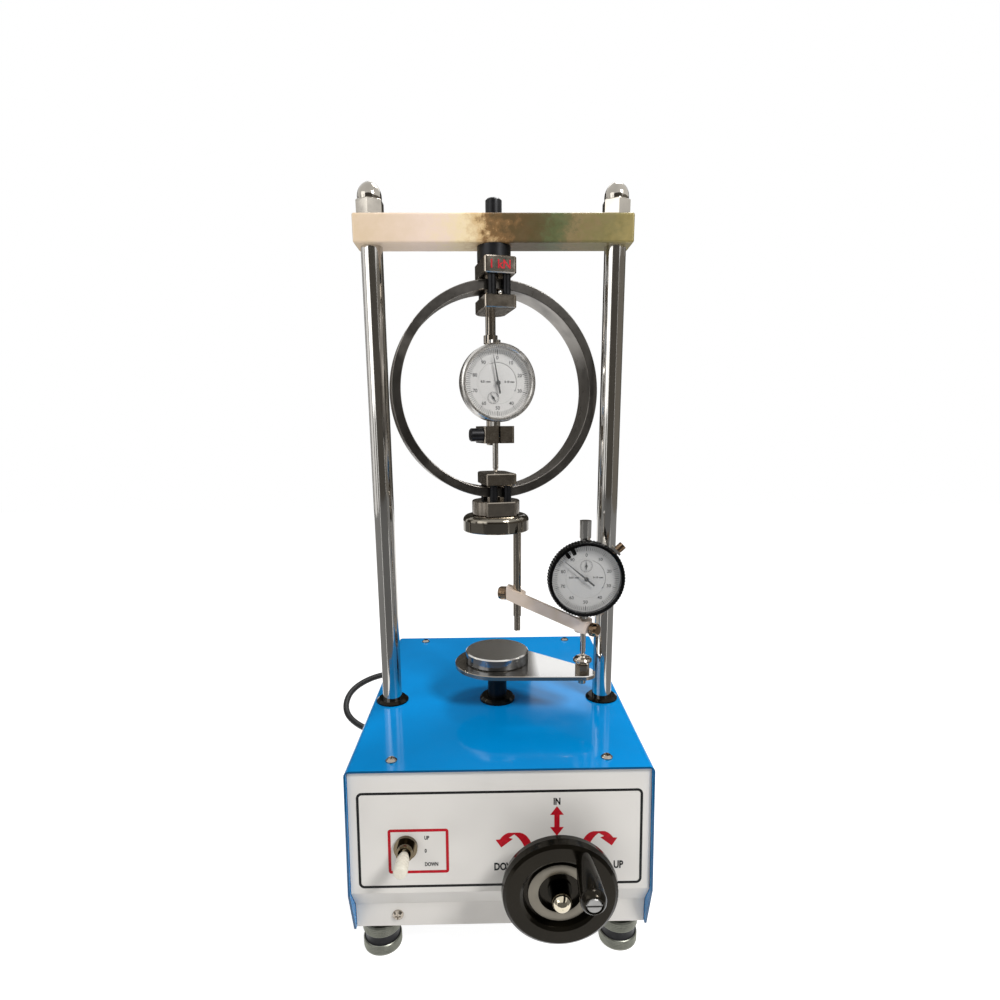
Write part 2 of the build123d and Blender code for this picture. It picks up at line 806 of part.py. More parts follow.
# Black posts between the blocks
with BuildPart() as clamp_posts:
    for low, high in ((upper_inner_top, upper_outer_bottom), (lower_outer_top, lower_inner_bottom)):
        with BuildSketch(moved(ring_frame, z=low - clamp_post_bite + run_gap)):
            with Locations(*post_spots):
                Circle(clamp_post_diameter / 2)
        extrude(amount=high - low + 2 * clamp_post_bite - 2 * run_gap)
save(clamp_posts.part, "clamp_posts")

# Rod that hangs the force dial behind its case
rod_frame = moved(ring_frame, y=hanger_rod_setback)
rod = hanger_rod_diameter / 2
collar = hanger_rod_collar / 2
collar_top = upper_inner_bottom - hanger_rod_collar_drop
rod_end = stem_clamp_bottom - 2
with BuildPart() as dial_hanger_rod:
    revolve(
        half_section(
            rod_frame, (0, rod_end), (rod - 0.6, rod_end), (rod, rod_end + 0.6),
            (rod, collar_top - hanger_rod_collar_height), (collar, collar_top - hanger_rod_collar_height),
            (collar, collar_top), (rod, collar_top), (rod, upper_inner_bottom + hanger_rod_seat - run_gap),
            (0, upper_inner_bottom + hanger_rod_seat - run_gap),
        ),
        axis=axis_of(rod_frame),
    )
save(dial_hanger_rod.part, "dial_hanger_rod")

# Split clamp that holds the force dial's stem to the rod
clamp_depth = stem_clamp_front + stem_clamp_rear
knob_z = stem_clamp_bottom + stem_clamp_height / 2
with BuildPart() as stem_clamp:
    with BuildSketch(moved(ring_frame, z=stem_clamp_bottom)) as clamp_section:
        with Locations((0, -stem_clamp_front)):
            Rectangle(stem_clamp_width, clamp_depth, align=(Align.CENTER, Align.MIN))
        fillet(clamp_section.vertices(), stem_clamp_corner)
        Circle(stem_diameter / 2 + run_gap, mode=Mode.SUBTRACT)
        with Locations((0, hanger_rod_setback)):
            Circle(hanger_rod_diameter / 2 + run_gap, mode=Mode.SUBTRACT)
        with Locations((0, -stem_clamp_front)):
            Rectangle(stem_clamp_slot, stem_clamp_front, align=(Align.CENTER, Align.MIN), mode=Mode.SUBTRACT)
    extrude(amount=stem_clamp_height)
    with BuildSketch(
        Plane(
            moved(ring_frame, -stem_clamp_width / 2 - cut_over, -knob_setback, knob_z).origin,
            x_dir=ring_front, z_dir=ring_right,
        )
    ):
        Circle(knob_screw_diameter / 2 + run_gap)
    extrude(amount=stem_clamp_width * 0.85, mode=Mode.SUBTRACT)
save(stem_clamp.part, "stem_clamp")

# Knurled knob of the split clamp
knob_frame = Plane(
    moved(ring_frame, -stem_clamp_width / 2 - touch_gap, -knob_setback, knob_z).origin,
    x_dir=ring_front, z_dir=[-c for c in ring_right],
)
knob = knob_diameter / 2
knob_shank = knob_screw_diameter / 2
with BuildPart() as stem_clamp_knob:
    revolve(
        half_section(
            knob_frame, (0, -0.7 * stem_clamp_width), (knob_shank, -0.7 * stem_clamp_width), (knob_shank, 0),
            (knob, 0), (knob, knob_length - 1), (knob - 1, knob_length), (0, knob_length),
        ),
        axis=axis_of(knob_frame),
    )
save(stem_clamp_knob.part, "stem_clamp_knob")


def dial_case(face, cap_height, rim_radius, extra=()):
    """Hollow case with the fixed middle of its dial, a bored stem below and a cap over the plunger's end."""
    up = Plane(face.origin, x_dir=face.x_dir, z_dir=(0, 0, 1))
    stem = stem_diameter / 2
    with BuildPart() as case:
        with BuildSketch(face.offset(-dial_case_back)):
            Circle(dial_case_radius)
        extrude(amount=dial_case_back + dial_case_front)
        chamfer(case.edges().filter_by(GeomType.CIRCLE).sort_by(Axis.Y)[-1:], 1.5)
        with BuildSketch(moved(up, z=-dial_case_radius - stem_length)):
            Circle(stem)
        extrude(amount=stem_length + dial_wall)
        with BuildSketch(moved(up, z=dial_case_radius - dial_wall)):
            Circle(stem)
        extrude(amount=cap_height + dial_wall)
        with BuildSketch(moved(up, z=rim_radius + cap_clear)):
            Circle(cap_diameter / 2)
        extrude(amount=dial_case_radius + cap_height - rim_radius - cap_clear)
        with BuildSketch(face.offset(-dial_case_back + dial_wall)):
            Circle(dial_case_radius - dial_wall)
        extrude(amount=dial_case_back + dial_case_front - 2 * dial_wall, mode=Mode.SUBTRACT)
        with BuildSketch(face.offset(dial_case_front)):
            Circle(inner_dial_radius)
        extrude(amount=face_height + face_thickness)
        with BuildSketch(face.offset(dial_case_front - dial_wall - cut_over)):
            Circle(2 * arbor_diameter)
            with Locations(*extra):
                Circle(1.5 * arbor_diameter)
        extrude(amount=dial_wall + face_height + face_thickness + 2 * cut_over, mode=Mode.SUBTRACT)
        with BuildSketch(moved(up, z=-dial_case_radius - stem_length - cut_over)):
            Circle(plunger_diameter / 2 + run_gap)
        extrude(amount=dial_case_radius + stem_length, mode=Mode.SUBTRACT)
    return case.part


def dial_bezel(face, radius):
    """Rim that turns on the case, rolled over at the front."""
    bore = radius - bezel_wall
    seat = dial_case_radius + run_gap
    front = dial_case_front + bezel_depth
    ring_frame_of_face = Plane(face.origin, x_dir=face.x_dir, z_dir=face.z_dir)
    with BuildPart() as bezel:
        revolve(
            half_section(
                ring_frame_of_face, (seat, dial_case_front - bezel_skirt),
                (radius, dial_case_front - bezel_skirt), (radius, front - 2.2), (radius - 0.5, front - 0.9),
                (radius - 1.4, front), (bore + 0.8, front), (bore, front - 1), (bore, front - 1.5),
                (bore, dial_case_front + run_gap), (seat, dial_case_front + run_gap),
            ),
            axis=axis_of(ring_frame_of_face),
        )
    return bezel.part


def dial_face(face, radius):
    """Printed scale behind the crystal, carried by the bezel round the fixed middle of the dial."""
    with BuildPart() as plate:
        with BuildSketch(face.offset(dial_case_front + face_height)):
            Circle(radius - bezel_wall - run_gap)
            Circle(inner_dial_radius + run_gap, mode=Mode.SUBTRACT)
        extrude(amount=face_thickness)
    return plate.part


def dial_crystal(face, radius):
    """Clear window held in the bezel."""
    front = dial_case_front + bezel_depth - crystal_drop
    with BuildPart() as window:
        with BuildSketch(face.offset(front - crystal_thickness)):
            Circle(radius - bezel_wall - run_gap)
        extrude(amount=crystal_thickness)
        chamfer(window.edges().filter_by(GeomType.CIRCLE).sort_by(Axis.Y)[:1], 0.3)
    return window.part


def dial_pointer(face, length, angle):
    """Needle with a counterweight tail, on its arbor."""
    height = dial_case_front + face_height + pointer_height
    with BuildPart() as needle:
        with BuildSketch(moved(face, z=height)):
            with Locations(Rot(0, 0, angle)):
                Polygon(
                    (-pointer_tail, -pointer_width / 2), (0, -pointer_width / 2), (length, -0.15),
                    (length, 0.15), (0, pointer_width / 2), (-pointer_tail, pointer_width / 2), align=None,
                )
            Circle(1.8)
        extrude(amount=pointer_thickness)
        with BuildSketch(moved(face, z=dial_case_front - dial_wall - 0.5)):
            Circle(arbor_diameter / 2)
        extrude(amount=height - dial_case_front + dial_wall + 0.5 + 2 * pointer_thickness)
    return needle.part


def counter_hand(face, spot):
    """Short hand that counts whole turns, on its own arbor."""
    height = dial_case_front + face_height + counter_height
    with BuildPart() as hand:
        with BuildSketch(moved(face, *spot, height)):
            Polygon((-1.6, -0.35), (1.6, -0.35), (0, counter_length), align=None)
            Circle(0.9)
        extrude(amount=pointer_thickness / 2)
        with BuildSketch(moved(face, *spot, dial_case_front - dial_wall - 0.5)):
            Circle(arbor_diameter / 2)
        extrude(amount=height - dial_case_front + dial_wall + 0.5)
    return hand.part


def dial_plunger(face, show):
    """Spring loaded spindle of the dial, with a ball point."""
    up = Plane(face.origin, x_dir=face.x_dir, z_dir=(0, 0, 1))
    shaft = plunger_diameter / 2
    tip = -dial_case_radius - stem_length - show
    top = -dial_case_radius + dial_wall + plunger_guide
    with BuildPart() as plunger:
        revolve(
            half_section(
                up, (0, tip), (0.35 * shaft, tip + 0.1), (0.7 * shaft, tip + 0.6), (0.8 * shaft, tip + 1.4),
                (0.8 * shaft, tip + 2.5), (shaft, tip + 3.0), (shaft, top), (0, top),
            ),
            axis=axis_of(up),
        )
    return plunger.part


# Force dial: reads the ring's shortening, from the upper blocks to the lower inner block
force_spot = (force_counter_x, force_counter_y)
force_length = force_bezel_radius - bezel_wall - pointer_margin
save(dial_case(force_face, force_cap_height, force_bezel_radius, [force_spot]), "force_dial_case")
save(dial_bezel(force_face, force_bezel_radius), "force_dial_bezel")
save(dial_face(force_face, force_bezel_radius), "force_dial_face")
save(dial_crystal(force_face, force_bezel_radius), "force_dial_crystal")
save(dial_pointer(force_face, force_length, force_pointer_angle), "force_dial_pointer")
save(counter_hand(force_face, force_spot), "force_dial_counter")
save(dial_plunger(force_face, force_plunger_show), "force_dial_plunger")

# Strain dial: reads the platen's rise, from the arm to the anvil screw
strain_spot = (strain_counter_x, strain_counter_y)
strain_length = strain_bezel_radius - bezel_wall - pointer_margin
lock_right = (cos(radians(lock_screw_angle)), 0, sin(radians(lock_screw_angle)))
lock_frame = Plane(strain_face.origin, x_dir=lock_right, z_dir=strain_face.z_dir)
lock_inner = strain_bezel_radius + touch_gap
lock_front = dial_case_front + bezel_depth / 2
lock_rear = dial_case_front - bezel_skirt - touch_gap - lock_bracket
lock_axis = Plane(
    lock_frame.from_local_coords((lock_inner + lock_bracket, 0, lock_front - lock_screw_diameter / 2)),
    x_dir=lock_frame.z_dir,
    z_dir=lock_frame.x_dir,
)
with BuildPart() as strain_case:
    add(dial_case(strain_face, strain_cap_height, strain_bezel_radius, [strain_spot]))
    with BuildSketch(moved(lock_frame, z=lock_rear)):
        with Locations((dial_case_radius - dial_wall / 2, 0)):
            Rectangle(
                lock_inner + lock_bracket - dial_case_radius + dial_wall / 2,
                lock_bracket_width, align=(Align.MIN, Align.CENTER),
            )
    extrude(amount=lock_bracket)
    with BuildSketch(moved(lock_frame, z=lock_rear)):
        with Locations((lock_inner, 0)):
            Rectangle(lock_bracket, lock_bracket_width, align=(Align.MIN, Align.CENTER))
    extrude(amount=lock_front - lock_rear)
    with BuildSketch(lock_axis):
        Circle(lock_screw_diameter / 2)
    extrude(amount=lock_screw_length)
save(strain_case.part, "strain_dial_case")
strain_bezel_ring = dial_bezel(strain_face, strain_bezel_radius)
strain_bezel_front = dial_case_front + bezel_depth
marker_clips = []
for marker_angle in marker_angles:
    with BuildPart() as marker:
        with BuildSketch(moved(strain_face, z=strain_bezel_front)):
            with Locations(Rot(0, 0, marker_angle)):
                with Locations((strain_bezel_radius - 1.4, 0)):
                    Rectangle(marker_length, marker_width, align=(Align.MAX, Align.CENTER))
        extrude(amount=0.8)
    marker_clips.append(marker.part)
save(Compound(children=[strain_bezel_ring, *marker_clips]), "strain_dial_bezel")
save(dial_face(strain_face, strain_bezel_radius), "strain_dial_face")
save(dial_crystal(strain_face, strain_bezel_radius), "strain_dial_crystal")
save(dial_pointer(strain_face, strain_length, strain_pointer_angle), "strain_dial_pointer")
save(counter_hand(strain_face, strain_spot), "strain_dial_counter")
save(dial_plunger(strain_face, strain_plunger_show), "strain_dial_plunger")

# Upper platen, under the lower outer block
upper_platen_frame = moved(lift_frame, z=upper_platen_bottom)
wide = upper_platen_diameter / 2
with BuildPart() as upper_platen:
    revolve(
        half_section(
            upper_platen_frame, (0, 0), (wide - upper_platen_edge, 0), (wide, upper_platen_edge),
            (wide, upper_platen_height), (0, upper_platen_height),
        ),
        axis=axis_of(upper_platen_frame),
    )
    fillet(upper_platen.faces().sort_by(Axis.Z)[-1].edges(), upper_platen_round)
    with BuildSketch(moved(Plane(rod_point), z=upper_platen_bottom)):
        Circle(support_rod_diameter / 2 + run_gap)
    extrude(amount=support_rod_seat, mode=Mode.SUBTRACT)
save(upper_platen.part, "upper_platen")

# Rod that carries the strain dial's arm
rod_top = upper_platen_bottom + support_rod_seat - run_gap
rod_bottom = arm_rod_z - support_rod_tail
rod_line = Plane(rod_point)
with BuildPart() as support_rod:
    revolve(
        half_section(
            rod_line, (0, rod_bottom), (support_rod_tip / 2 - 0.5, rod_bottom),
            (support_rod_tip / 2, rod_bottom + 0.5),
            (support_rod_tip / 2, rod_bottom + support_rod_tip_length),
            (support_rod_diameter / 2, rod_bottom + support_rod_tip_length + 0.6),
            (support_rod_diameter / 2, rod_top), (0, rod_top),
        ),
        axis=axis_of(rod_line),
    )
save(support_rod.part, "support_rod")

# Arm: flat bar that slopes from a block on the rod down to a boss on the strain dial's stem
arm_half = arm_height / 2
rod_thumb_point = (*rod_point[:2], arm_rod_z + thumb_shift)
stem_thumb_point = (anvil_x, strain_y, arm_stem_z - thumb_shift)
bar_offset = arm_boss_diameter / 2 - arm_thickness
bar_left = arm_rod_z + arm_slope * arm_overhang
bar_right = arm_stem_z - arm_slope * arm_tip
block_right = arm_rod_z - arm_slope * arm_boss_diameter / 2
with BuildPart() as dial_arm:
    with BuildSketch(arm_side.offset(-arm_boss_diameter / 2)):
        with BuildLine():
            Polyline(
                (-arm_overhang, bar_left - arm_half), (-arm_overhang, bar_left + arm_half),
                (arm_boss_diameter / 2, block_right + arm_half),
                (arm_boss_diameter / 2, block_right - arm_half),
                close=True,
            )
        make_face()
    extrude(amount=arm_boss_diameter - arm_thickness / 2)
    fillet(dial_arm.edges().filter_by(Axis.Z).sort_by(Axis.Y)[-2:], arm_corner)
    with BuildSketch(arm_side.offset(bar_offset)):
        with BuildLine():
            Polyline(
                (-arm_overhang, bar_left - arm_half), (-arm_overhang, bar_left + arm_half),
                (arm_span + arm_tip, bar_right + arm_half), (arm_span + arm_tip, bar_right - arm_half),
                close=True,
            )
        make_face()
    extrude(amount=arm_thickness)
    with BuildSketch(Plane((anvil_x, strain_y, arm_stem_z - arm_half))):
        Circle(arm_stem_boss / 2)
    extrude(amount=arm_height)
    with BuildSketch(moved(Plane(rod_point), z=arm_rod_z - arm_height)):
        Circle(support_rod_diameter / 2 + run_gap)
    extrude(amount=2 * arm_height, mode=Mode.SUBTRACT)
    with BuildSketch(Plane((anvil_x, strain_y, arm_stem_z - arm_height))):
        Circle(stem_diameter / 2 + run_gap)
    extrude(amount=2 * arm_height, mode=Mode.SUBTRACT)
    with BuildSketch(Plane(rod_thumb_point, x_dir=(0, 0, 1), z_dir=[-c for c in arm_right])):
        Circle(thumb_shank / 2 + run_gap)
    extrude(amount=arm_boss_diameter, mode=Mode.SUBTRACT)
    with BuildSketch(Plane(stem_thumb_point, x_dir=(0, 0, 1), z_dir=stem_thumb_way)):
        Circle(thumb_shank / 2 + run_gap)
    extrude(amount=arm_boss_diameter, mode=Mode.SUBTRACT)
save(dial_arm.part, "dial_arm")

# Thumb screws of the arm: one grips the rod, the other the dial's stem
arm_screws = []
for place, direction, boss, bar_size in (
    (rod_thumb_point, [-c for c in arm_right], arm_overhang, support_rod_diameter),
    (stem_thumb_point, stem_thumb_way, arm_stem_boss / 2, stem_diameter),
):
    thumb_frame = Plane(place, x_dir=(0, 0, 1), z_dir=direction)
    seat = boss + touch_gap
    inner = bar_size / 2 + touch_gap
    with BuildPart() as thumb_screw:
        revolve(
            half_section(
                thumb_frame, (0, inner), (thumb_shank / 2, inner), (thumb_shank / 2, seat),
                (0.42 * thumb_diameter, seat), (thumb_diameter / 2, seat + 0.12 * thumb_length),
                (thumb_diameter / 2, seat + 0.62 * thumb_length),
                (0.4 * thumb_diameter, seat + 0.9 * thumb_length),
                (0.22 * thumb_diameter, seat + thumb_length), (0, seat + thumb_length),
            ),
            axis=axis_of(thumb_frame),
        )
    arm_screws.append(thumb_screw.part)
save(Compound(children=arm_screws), "arm_screws")

# Lifting spindle: black screw through the bush and the worm wheel
spindle_bottom = anvil_plate_bottom - spindle_length
with BuildPart() as lifting_spindle:
    revolve(
        half_section(
            lift_frame, (0, spindle_bottom), (spindle_diameter / 2 - 1, spindle_bottom),
            (spindle_diameter / 2, spindle_bottom + 1), (spindle_diameter / 2, anvil_plate_bottom),
            (spindle_spigot / 2, anvil_plate_bottom),
            (spindle_spigot / 2, lower_platen_top - lower_platen_height / 2),
            (0, lower_platen_top - lower_platen_height / 2),
        ),
        axis=axis_of(lift_frame),
    )
save(lifting_spindle.part, "lifting_spindle")

# Anvil plate: disc under the lower platen with an arm that reaches under the strain dial
with BuildPart() as anvil_plate:
    with BuildSketch(Plane.XY.offset(anvil_plate_bottom)):
        with Locations((0, axis_y)):
            Circle(anvil_plate_diameter / 2)
        with Locations((anvil_x, strain_y)):
            Circle(anvil_end_diameter / 2)
        make_hull()
        with Locations((0, axis_y)):
            Circle(spindle_spigot / 2 + run_gap, mode=Mode.SUBTRACT)
        with Locations((anvil_x, strain_y)):
            Circle(anvil_screw_diameter / 2 + run_gap, mode=Mode.SUBTRACT)
    extrude(amount=anvil_plate_thickness)
    chamfer(anvil_plate.faces().sort_by(Axis.Z)[-1].outer_wire().edges(), 0.5)
save(anvil_plate.part, "anvil_plate")

# Lower platen
lower_platen_frame = moved(lift_frame, z=anvil_plate_top)
wide = lower_platen_diameter / 2
with BuildPart() as lower_platen:
    revolve(
        half_section(
            lower_platen_frame, (0, 0), (wide - lower_platen_edge, 0), (wide, lower_platen_edge),
            (wide, lower_platen_height - lower_platen_edge), (wide - lower_platen_edge, lower_platen_height),
            (0, lower_platen_height),
        ),
        axis=axis_of(lower_platen_frame),
    )
    with BuildSketch(lower_platen_frame):
        Circle(spindle_spigot / 2 + run_gap)
    extrude(amount=lower_platen_height / 2 + run_gap, mode=Mode.SUBTRACT)
save(lower_platen.part, "lower_platen")

# Anvil screw: round head for the dial's point, locked by a nut and threaded into the plate's arm
anvil_frame = Plane((anvil_x, strain_y, anvil_nut_top))
shank = anvil_screw_diameter / 2
head = anvil_head_diameter / 2
with BuildPart() as anvil_screw:
    revolve(
        half_section(
            anvil_frame, (0, anvil_plate_bottom - anvil_tail - anvil_nut_top),
            (shank, anvil_plate_bottom - anvil_tail - anvil_nut_top), (shank, 0), (0.6 * head, 0),
            (head, 0.36 * anvil_head_height), (head, 0.56 * anvil_head_height),
            (0.86 * head, 0.74 * anvil_head_height), (0.5 * head, 0.86 * anvil_head_height),
            (0.42 * head, anvil_head_height), (0, anvil_head_height),
        ),
        axis=axis_of(anvil_frame),
    )
with BuildPart() as anvil_nut:
    with BuildSketch(Plane((anvil_x, strain_y, anvil_plate_top))):
        RegularPolygon(anvil_nut_flats / 2, 6, major_radius=False)
        Circle(shank + run_gap, mode=Mode.SUBTRACT)
    extrude(amount=anvil_nut_height)
save(Compound(children=[anvil_screw.part, anvil_nut.part]), "anvil_screw")

# Handwheel: broad dished rim, thin web and hub
rim_outer = wheel_diameter / 2
rim_inner = rim_outer - wheel_rim_height
shaft_bore = wheel_shaft_diameter / 2 + run_gap
hub = wheel_hub_diameter / 2
ring_out = wheel_ring_outer / 2
ring_in = wheel_ring_inner / 2
with BuildPart() as handwheel:
    revolve(
        half_section(
            wheel_face, (shaft_bore, -wheel_hub_length), (hub, -wheel_hub_length),
            (hub, -wheel_web_drop - wheel_web - 1), (rim_inner - 1, -wheel_web_drop - wheel_web - 1),
            (rim_inner, -wheel_rim_width + 1.5), (rim_inner + 2, -wheel_rim_width),
            (rim_outer - 3, -wheel_rim_width), (rim_outer - 0.8, -wheel_rim_width + 1.6),
            (rim_outer, -wheel_rim_width / 2), (rim_outer - 0.8, -1.6), (rim_outer - 3, 0),
            (rim_inner + 2, 0), (rim_inner, -1.5), (rim_inner - 1, -wheel_web_drop - 1),
            (ring_out, -wheel_web_drop - 1), (ring_out, -wheel_web_drop + 1), (ring_in, -wheel_web_drop + 1),
            (ring_in - 1, -wheel_hub_drop), (shaft_bore, -wheel_hub_drop),
        ),
        axis=axis_of(wheel_face),
    )
    with Locations(crank_face):
        Hole(crank_bolt_diameter / 2 + run_gap, depth=crank_bolt_bite + run_gap)
save(handwheel.part, "handwheel")

# Wheel shaft: slides in the hollow worm, with the acorn nut that holds the wheel on
worm_rear = axis_y + worm_length / 2 + bearing_wall + bearing_gap
shaft_rear = wheel_front - worm_rear + wheel_pull
wheel_shaft_radius = wheel_shaft_diameter / 2
nut_radius = wheel_nut_diameter / 2
with BuildPart() as wheel_shaft_bar:
    revolve(
        half_section(
            wheel_face, (0, shaft_rear), (wheel_shaft_radius, shaft_rear),
            (wheel_shaft_radius, -wheel_hub_drop), (0, -wheel_hub_drop),
        ),
        axis=axis_of(wheel_face),
    )
with BuildPart() as wheel_nut:
    with BuildSketch(Plane(wheel_face.origin, x_dir=wheel_face.x_dir, z_dir=-wheel_face.y_dir)):
        with BuildLine():
            Polyline(
                (0, -wheel_hub_drop), (1.25 * nut_radius, -wheel_hub_drop),
                (1.25 * nut_radius, 1.5 - wheel_hub_drop), (nut_radius, 1.5 - wheel_hub_drop),
                (nut_radius, wheel_nut_length - wheel_hub_drop - nut_radius),
            )
            ThreePointArc(
                (nut_radius, wheel_nut_length - wheel_hub_drop - nut_radius),
                (nut_radius * sqrt(0.5), wheel_nut_length - wheel_hub_drop - nut_radius * (1 - sqrt(0.5))),
                (0, wheel_nut_length - wheel_hub_drop),
            )
            Line((0, wheel_nut_length - wheel_hub_drop), (0, -wheel_hub_drop))
        make_face()
    revolve(axis=axis_of(wheel_face))
save(Compound(children=[wheel_shaft_bar.part, wheel_nut.part]), "wheel_shaft")

# Revolving crank handle, wider at its outer end, and the bolt that it turns on
bolt = crank_bolt_diameter / 2
bolt_head = crank_bolt_head / 2
root = handle_root_diameter / 2
end = handle_end_diameter / 2
handle_top = handle_gap + handle_length
recess_floor = handle_top - handle_recess
with BuildPart() as crank_handle:
    with BuildSketch(Plane(crank_face.origin, x_dir=crank_face.x_dir, z_dir=-crank_face.y_dir)):
        with BuildLine():
            Line((bolt + run_gap, handle_gap), (root, handle_gap))
            Spline((root, handle_gap), (0.5 * (root + end) + 0.6, 0.5 * handle_top), (end, 0.86 * handle_top))
            ThreePointArc(
                (end, 0.86 * handle_top), (end - 0.6, 0.95 * handle_top), (end - 2.2, handle_top)
            )
            Polyline(
                (end - 2.2, handle_top), (bolt_head + touch_gap, handle_top),
                (bolt_head + touch_gap, recess_floor),
                (bolt + run_gap, recess_floor), (bolt + run_gap, handle_gap),
            )
        make_face()
    revolve(axis=axis_of(crank_face))
save(crank_handle.part, "crank_handle")
with BuildPart() as crank_bolt:
    revolve(
        half_section(
            crank_face, (0, -crank_bolt_bite), (bolt, -crank_bolt_bite), (bolt, recess_floor + touch_gap),
            (bolt_head, recess_floor + touch_gap), (bolt_head, handle_top - 0.8),
            (bolt_head - 0.8, handle_top),
            (0, handle_top),
        ),
        axis=axis_of(crank_face),
    )
    with BuildSketch(moved(crank_face, z=handle_top)):
        Rectangle(crank_bolt_head, 1.2)
    extrude(amount=-0.9, mode=Mode.SUBTRACT)
save(crank_bolt.part, "crank_bolt")

# Worm: hollow, so that the wheel's shaft can slide in it
worm_face = Plane((wheel_x, axis_y, wheel_z), x_dir=(1, 0, 0), z_dir=(0, -1, 0))
worm_radius = worm_diameter / 2
worm_half = worm_length / 2
neck_half = worm_half + bearing_wall + bearing_gap
groove_count = int(worm_length / worm_pitch)
with BuildPart() as worm:
    revolve(
        half_section(
            worm_face, (shaft_bore, -neck_half), (worm_neck / 2, -neck_half), (worm_neck / 2, -worm_half),
            (worm_radius, -worm_half), (worm_radius, worm_half), (worm_neck / 2, worm_half),
            (worm_neck / 2, neck_half), (shaft_bore, neck_half),
        ),
        axis=axis_of(worm_face),
    )
    for step in range(groove_count):
        groove_z = (step - (groove_count - 1) / 2) * worm_pitch
        revolve(
            half_section(
                moved(worm_face, z=groove_z), (worm_radius - worm_groove, -0.2 * worm_pitch),
                (worm_radius + cut_over, -0.34 * worm_pitch), (worm_radius + cut_over, 0.34 * worm_pitch),
                (worm_radius - worm_groove, 0.2 * worm_pitch),
            ),
            axis=axis_of(worm_face),
            mode=Mode.SUBTRACT,
        )
save(worm.part, "worm")

# Worm wheel: its threaded bore lifts the spindle
worm_wheel_radius = wheel_x - worm_radius - worm_wheel_gap
tooth_width = 2 * pi * worm_wheel_radius / worm_wheel_teeth
with BuildPart() as worm_wheel:
    with BuildSketch(Plane((0, axis_y, wheel_z - worm_wheel_height / 2))):
        Circle(worm_wheel_radius)
        with PolarLocations(worm_wheel_radius, worm_wheel_teeth):
            SlotOverall(2 * worm_wheel_tooth, 0.5 * tooth_width, mode=Mode.SUBTRACT)
        Circle(spindle_diameter / 2 + run_gap, mode=Mode.SUBTRACT)
    extrude(amount=worm_wheel_height)
save(worm_wheel.part, "worm_wheel")

# Gear housing: floor with a thrust boss under the worm wheel, and two bearing walls for the worm
wall_front = axis_y - worm_half - bearing_gap
housing_right = wheel_x + bearing_wall_width / 2
housing_left = -worm_wheel_radius - 4 * touch_gap
housing_depth = worm_length + 2 * bearing_wall + 2 * bearing_gap
boss_top = wheel_z - worm_wheel_height / 2 - touch_gap
with BuildPart() as gear_housing:
    with BuildSketch(Plane((0, axis_y, base_top))):
        with Locations((housing_left, 0)):
            Rectangle(housing_right - housing_left, housing_depth, align=(Align.MIN, Align.CENTER))
    extrude(amount=housing_floor)
    with BuildSketch(Plane((0, axis_y, housing_top))):
        Circle(thrust_boss / 2)
    extrude(amount=boss_top - housing_top)
    for wall_y in (wall_front - bearing_wall, axis_y + worm_half + bearing_gap):
        with BuildSketch(Plane((wheel_x, wall_y, housing_top))):
            Rectangle(bearing_wall_width, bearing_wall, align=(Align.CENTER, Align.MIN))
        extrude(amount=wheel_z + bearing_wall_over - housing_top)
    with BuildSketch(Plane.XZ.offset(-axis_y + housing_depth)):
        with Locations((wheel_x, wheel_z)):
            Circle(worm_neck / 2 + run_gap)
    extrude(amount=-2 * housing_depth, mode=Mode.SUBTRACT)
    with BuildSketch(Plane((0, axis_y, base_top))):
        Circle(spindle_diameter / 2 + touch_gap)
    extrude(amount=boss_top - base_top + cut_over, mode=Mode.SUBTRACT)
save(gear_housing.part, "gear_housing")

# Drive motor on its saddle, with the clutch disc that faces the worm
motor_front = axis_y + neck_half + clutch_gap + clutch_length
motor_face = Plane((wheel_x, motor_front + clutch_gap, wheel_z), x_dir=(1, 0, 0), z_dir=(0, 1, 0))
motor_radius = motor_diameter / 2
with BuildPart() as motor:
    revolve(
        half_section(
            motor_face, (0, -clutch_length - clutch_gap), (clutch_diameter / 2, -clutch_length - clutch_gap),
            (clutch_diameter / 2, -clutch_gap), (motor_shaft_diameter / 2, -clutch_gap),
            (motor_shaft_diameter / 2, 0), (motor_radius - 2, 0), (motor_radius, 2),
            (motor_radius, motor_length - 2),
            (motor_radius - 2, motor_length), (0, motor_length),
        ),
        axis=axis_of(motor_face),
    )
    with BuildSketch(Plane((wheel_x, motor_front + motor_length / 2, base_top))):
        Rectangle(motor_foot_width, 0.7 * motor_length)
    extrude(amount=wheel_z - base_top - 0.8 * motor_radius)
    with BuildSketch(Plane((wheel_x, motor_front + motor_length / 2, base_top))):
        Rectangle(0.5 * motor_diameter, 0.6 * motor_length)
    extrude(amount=wheel_z - base_top)
save(motor.part, "motor")

# Toggle switch: body behind the panel, threaded bush through it and a round nut in front
body_front = -sheet / cos(radians(lean_angle))
pivot_z = switch_bush_length - switch_pivot_depth - lever_ball / 2
lever_face = moved(switch_face, z=pivot_z)
lever_cross = Plane(lever_face.origin, x_dir=lever_face.z_dir, z_dir=lever_face.x_dir)
with BuildPart() as toggle_switch:
    with BuildSketch(moved(switch_face, z=body_front - switch_body_depth)):
        Rectangle(switch_body_width, switch_body_height)
    extrude(amount=switch_body_depth)
    with BuildSketch(moved(switch_face, z=body_front)):
        Circle(switch_bush / 2)
    extrude(amount=switch_bush_length - body_front)
    with BuildSketch(switch_face):
        Circle(switch_nut / 2)
    extrude(amount=switch_nut_length)
    with BuildSketch(moved(switch_face, z=switch_bush_length)):
        Circle(switch_bore / 2)
    extrude(amount=-switch_bush_length - lever_ball - switch_pivot_depth, mode=Mode.SUBTRACT)
    with BuildSketch(lever_cross):
        Circle(lever_pin / 2 + run_gap)
    extrude(amount=switch_bush / 2 - touch_gap / 2, both=True, mode=Mode.SUBTRACT)
save(toggle_switch.part, "toggle_switch")

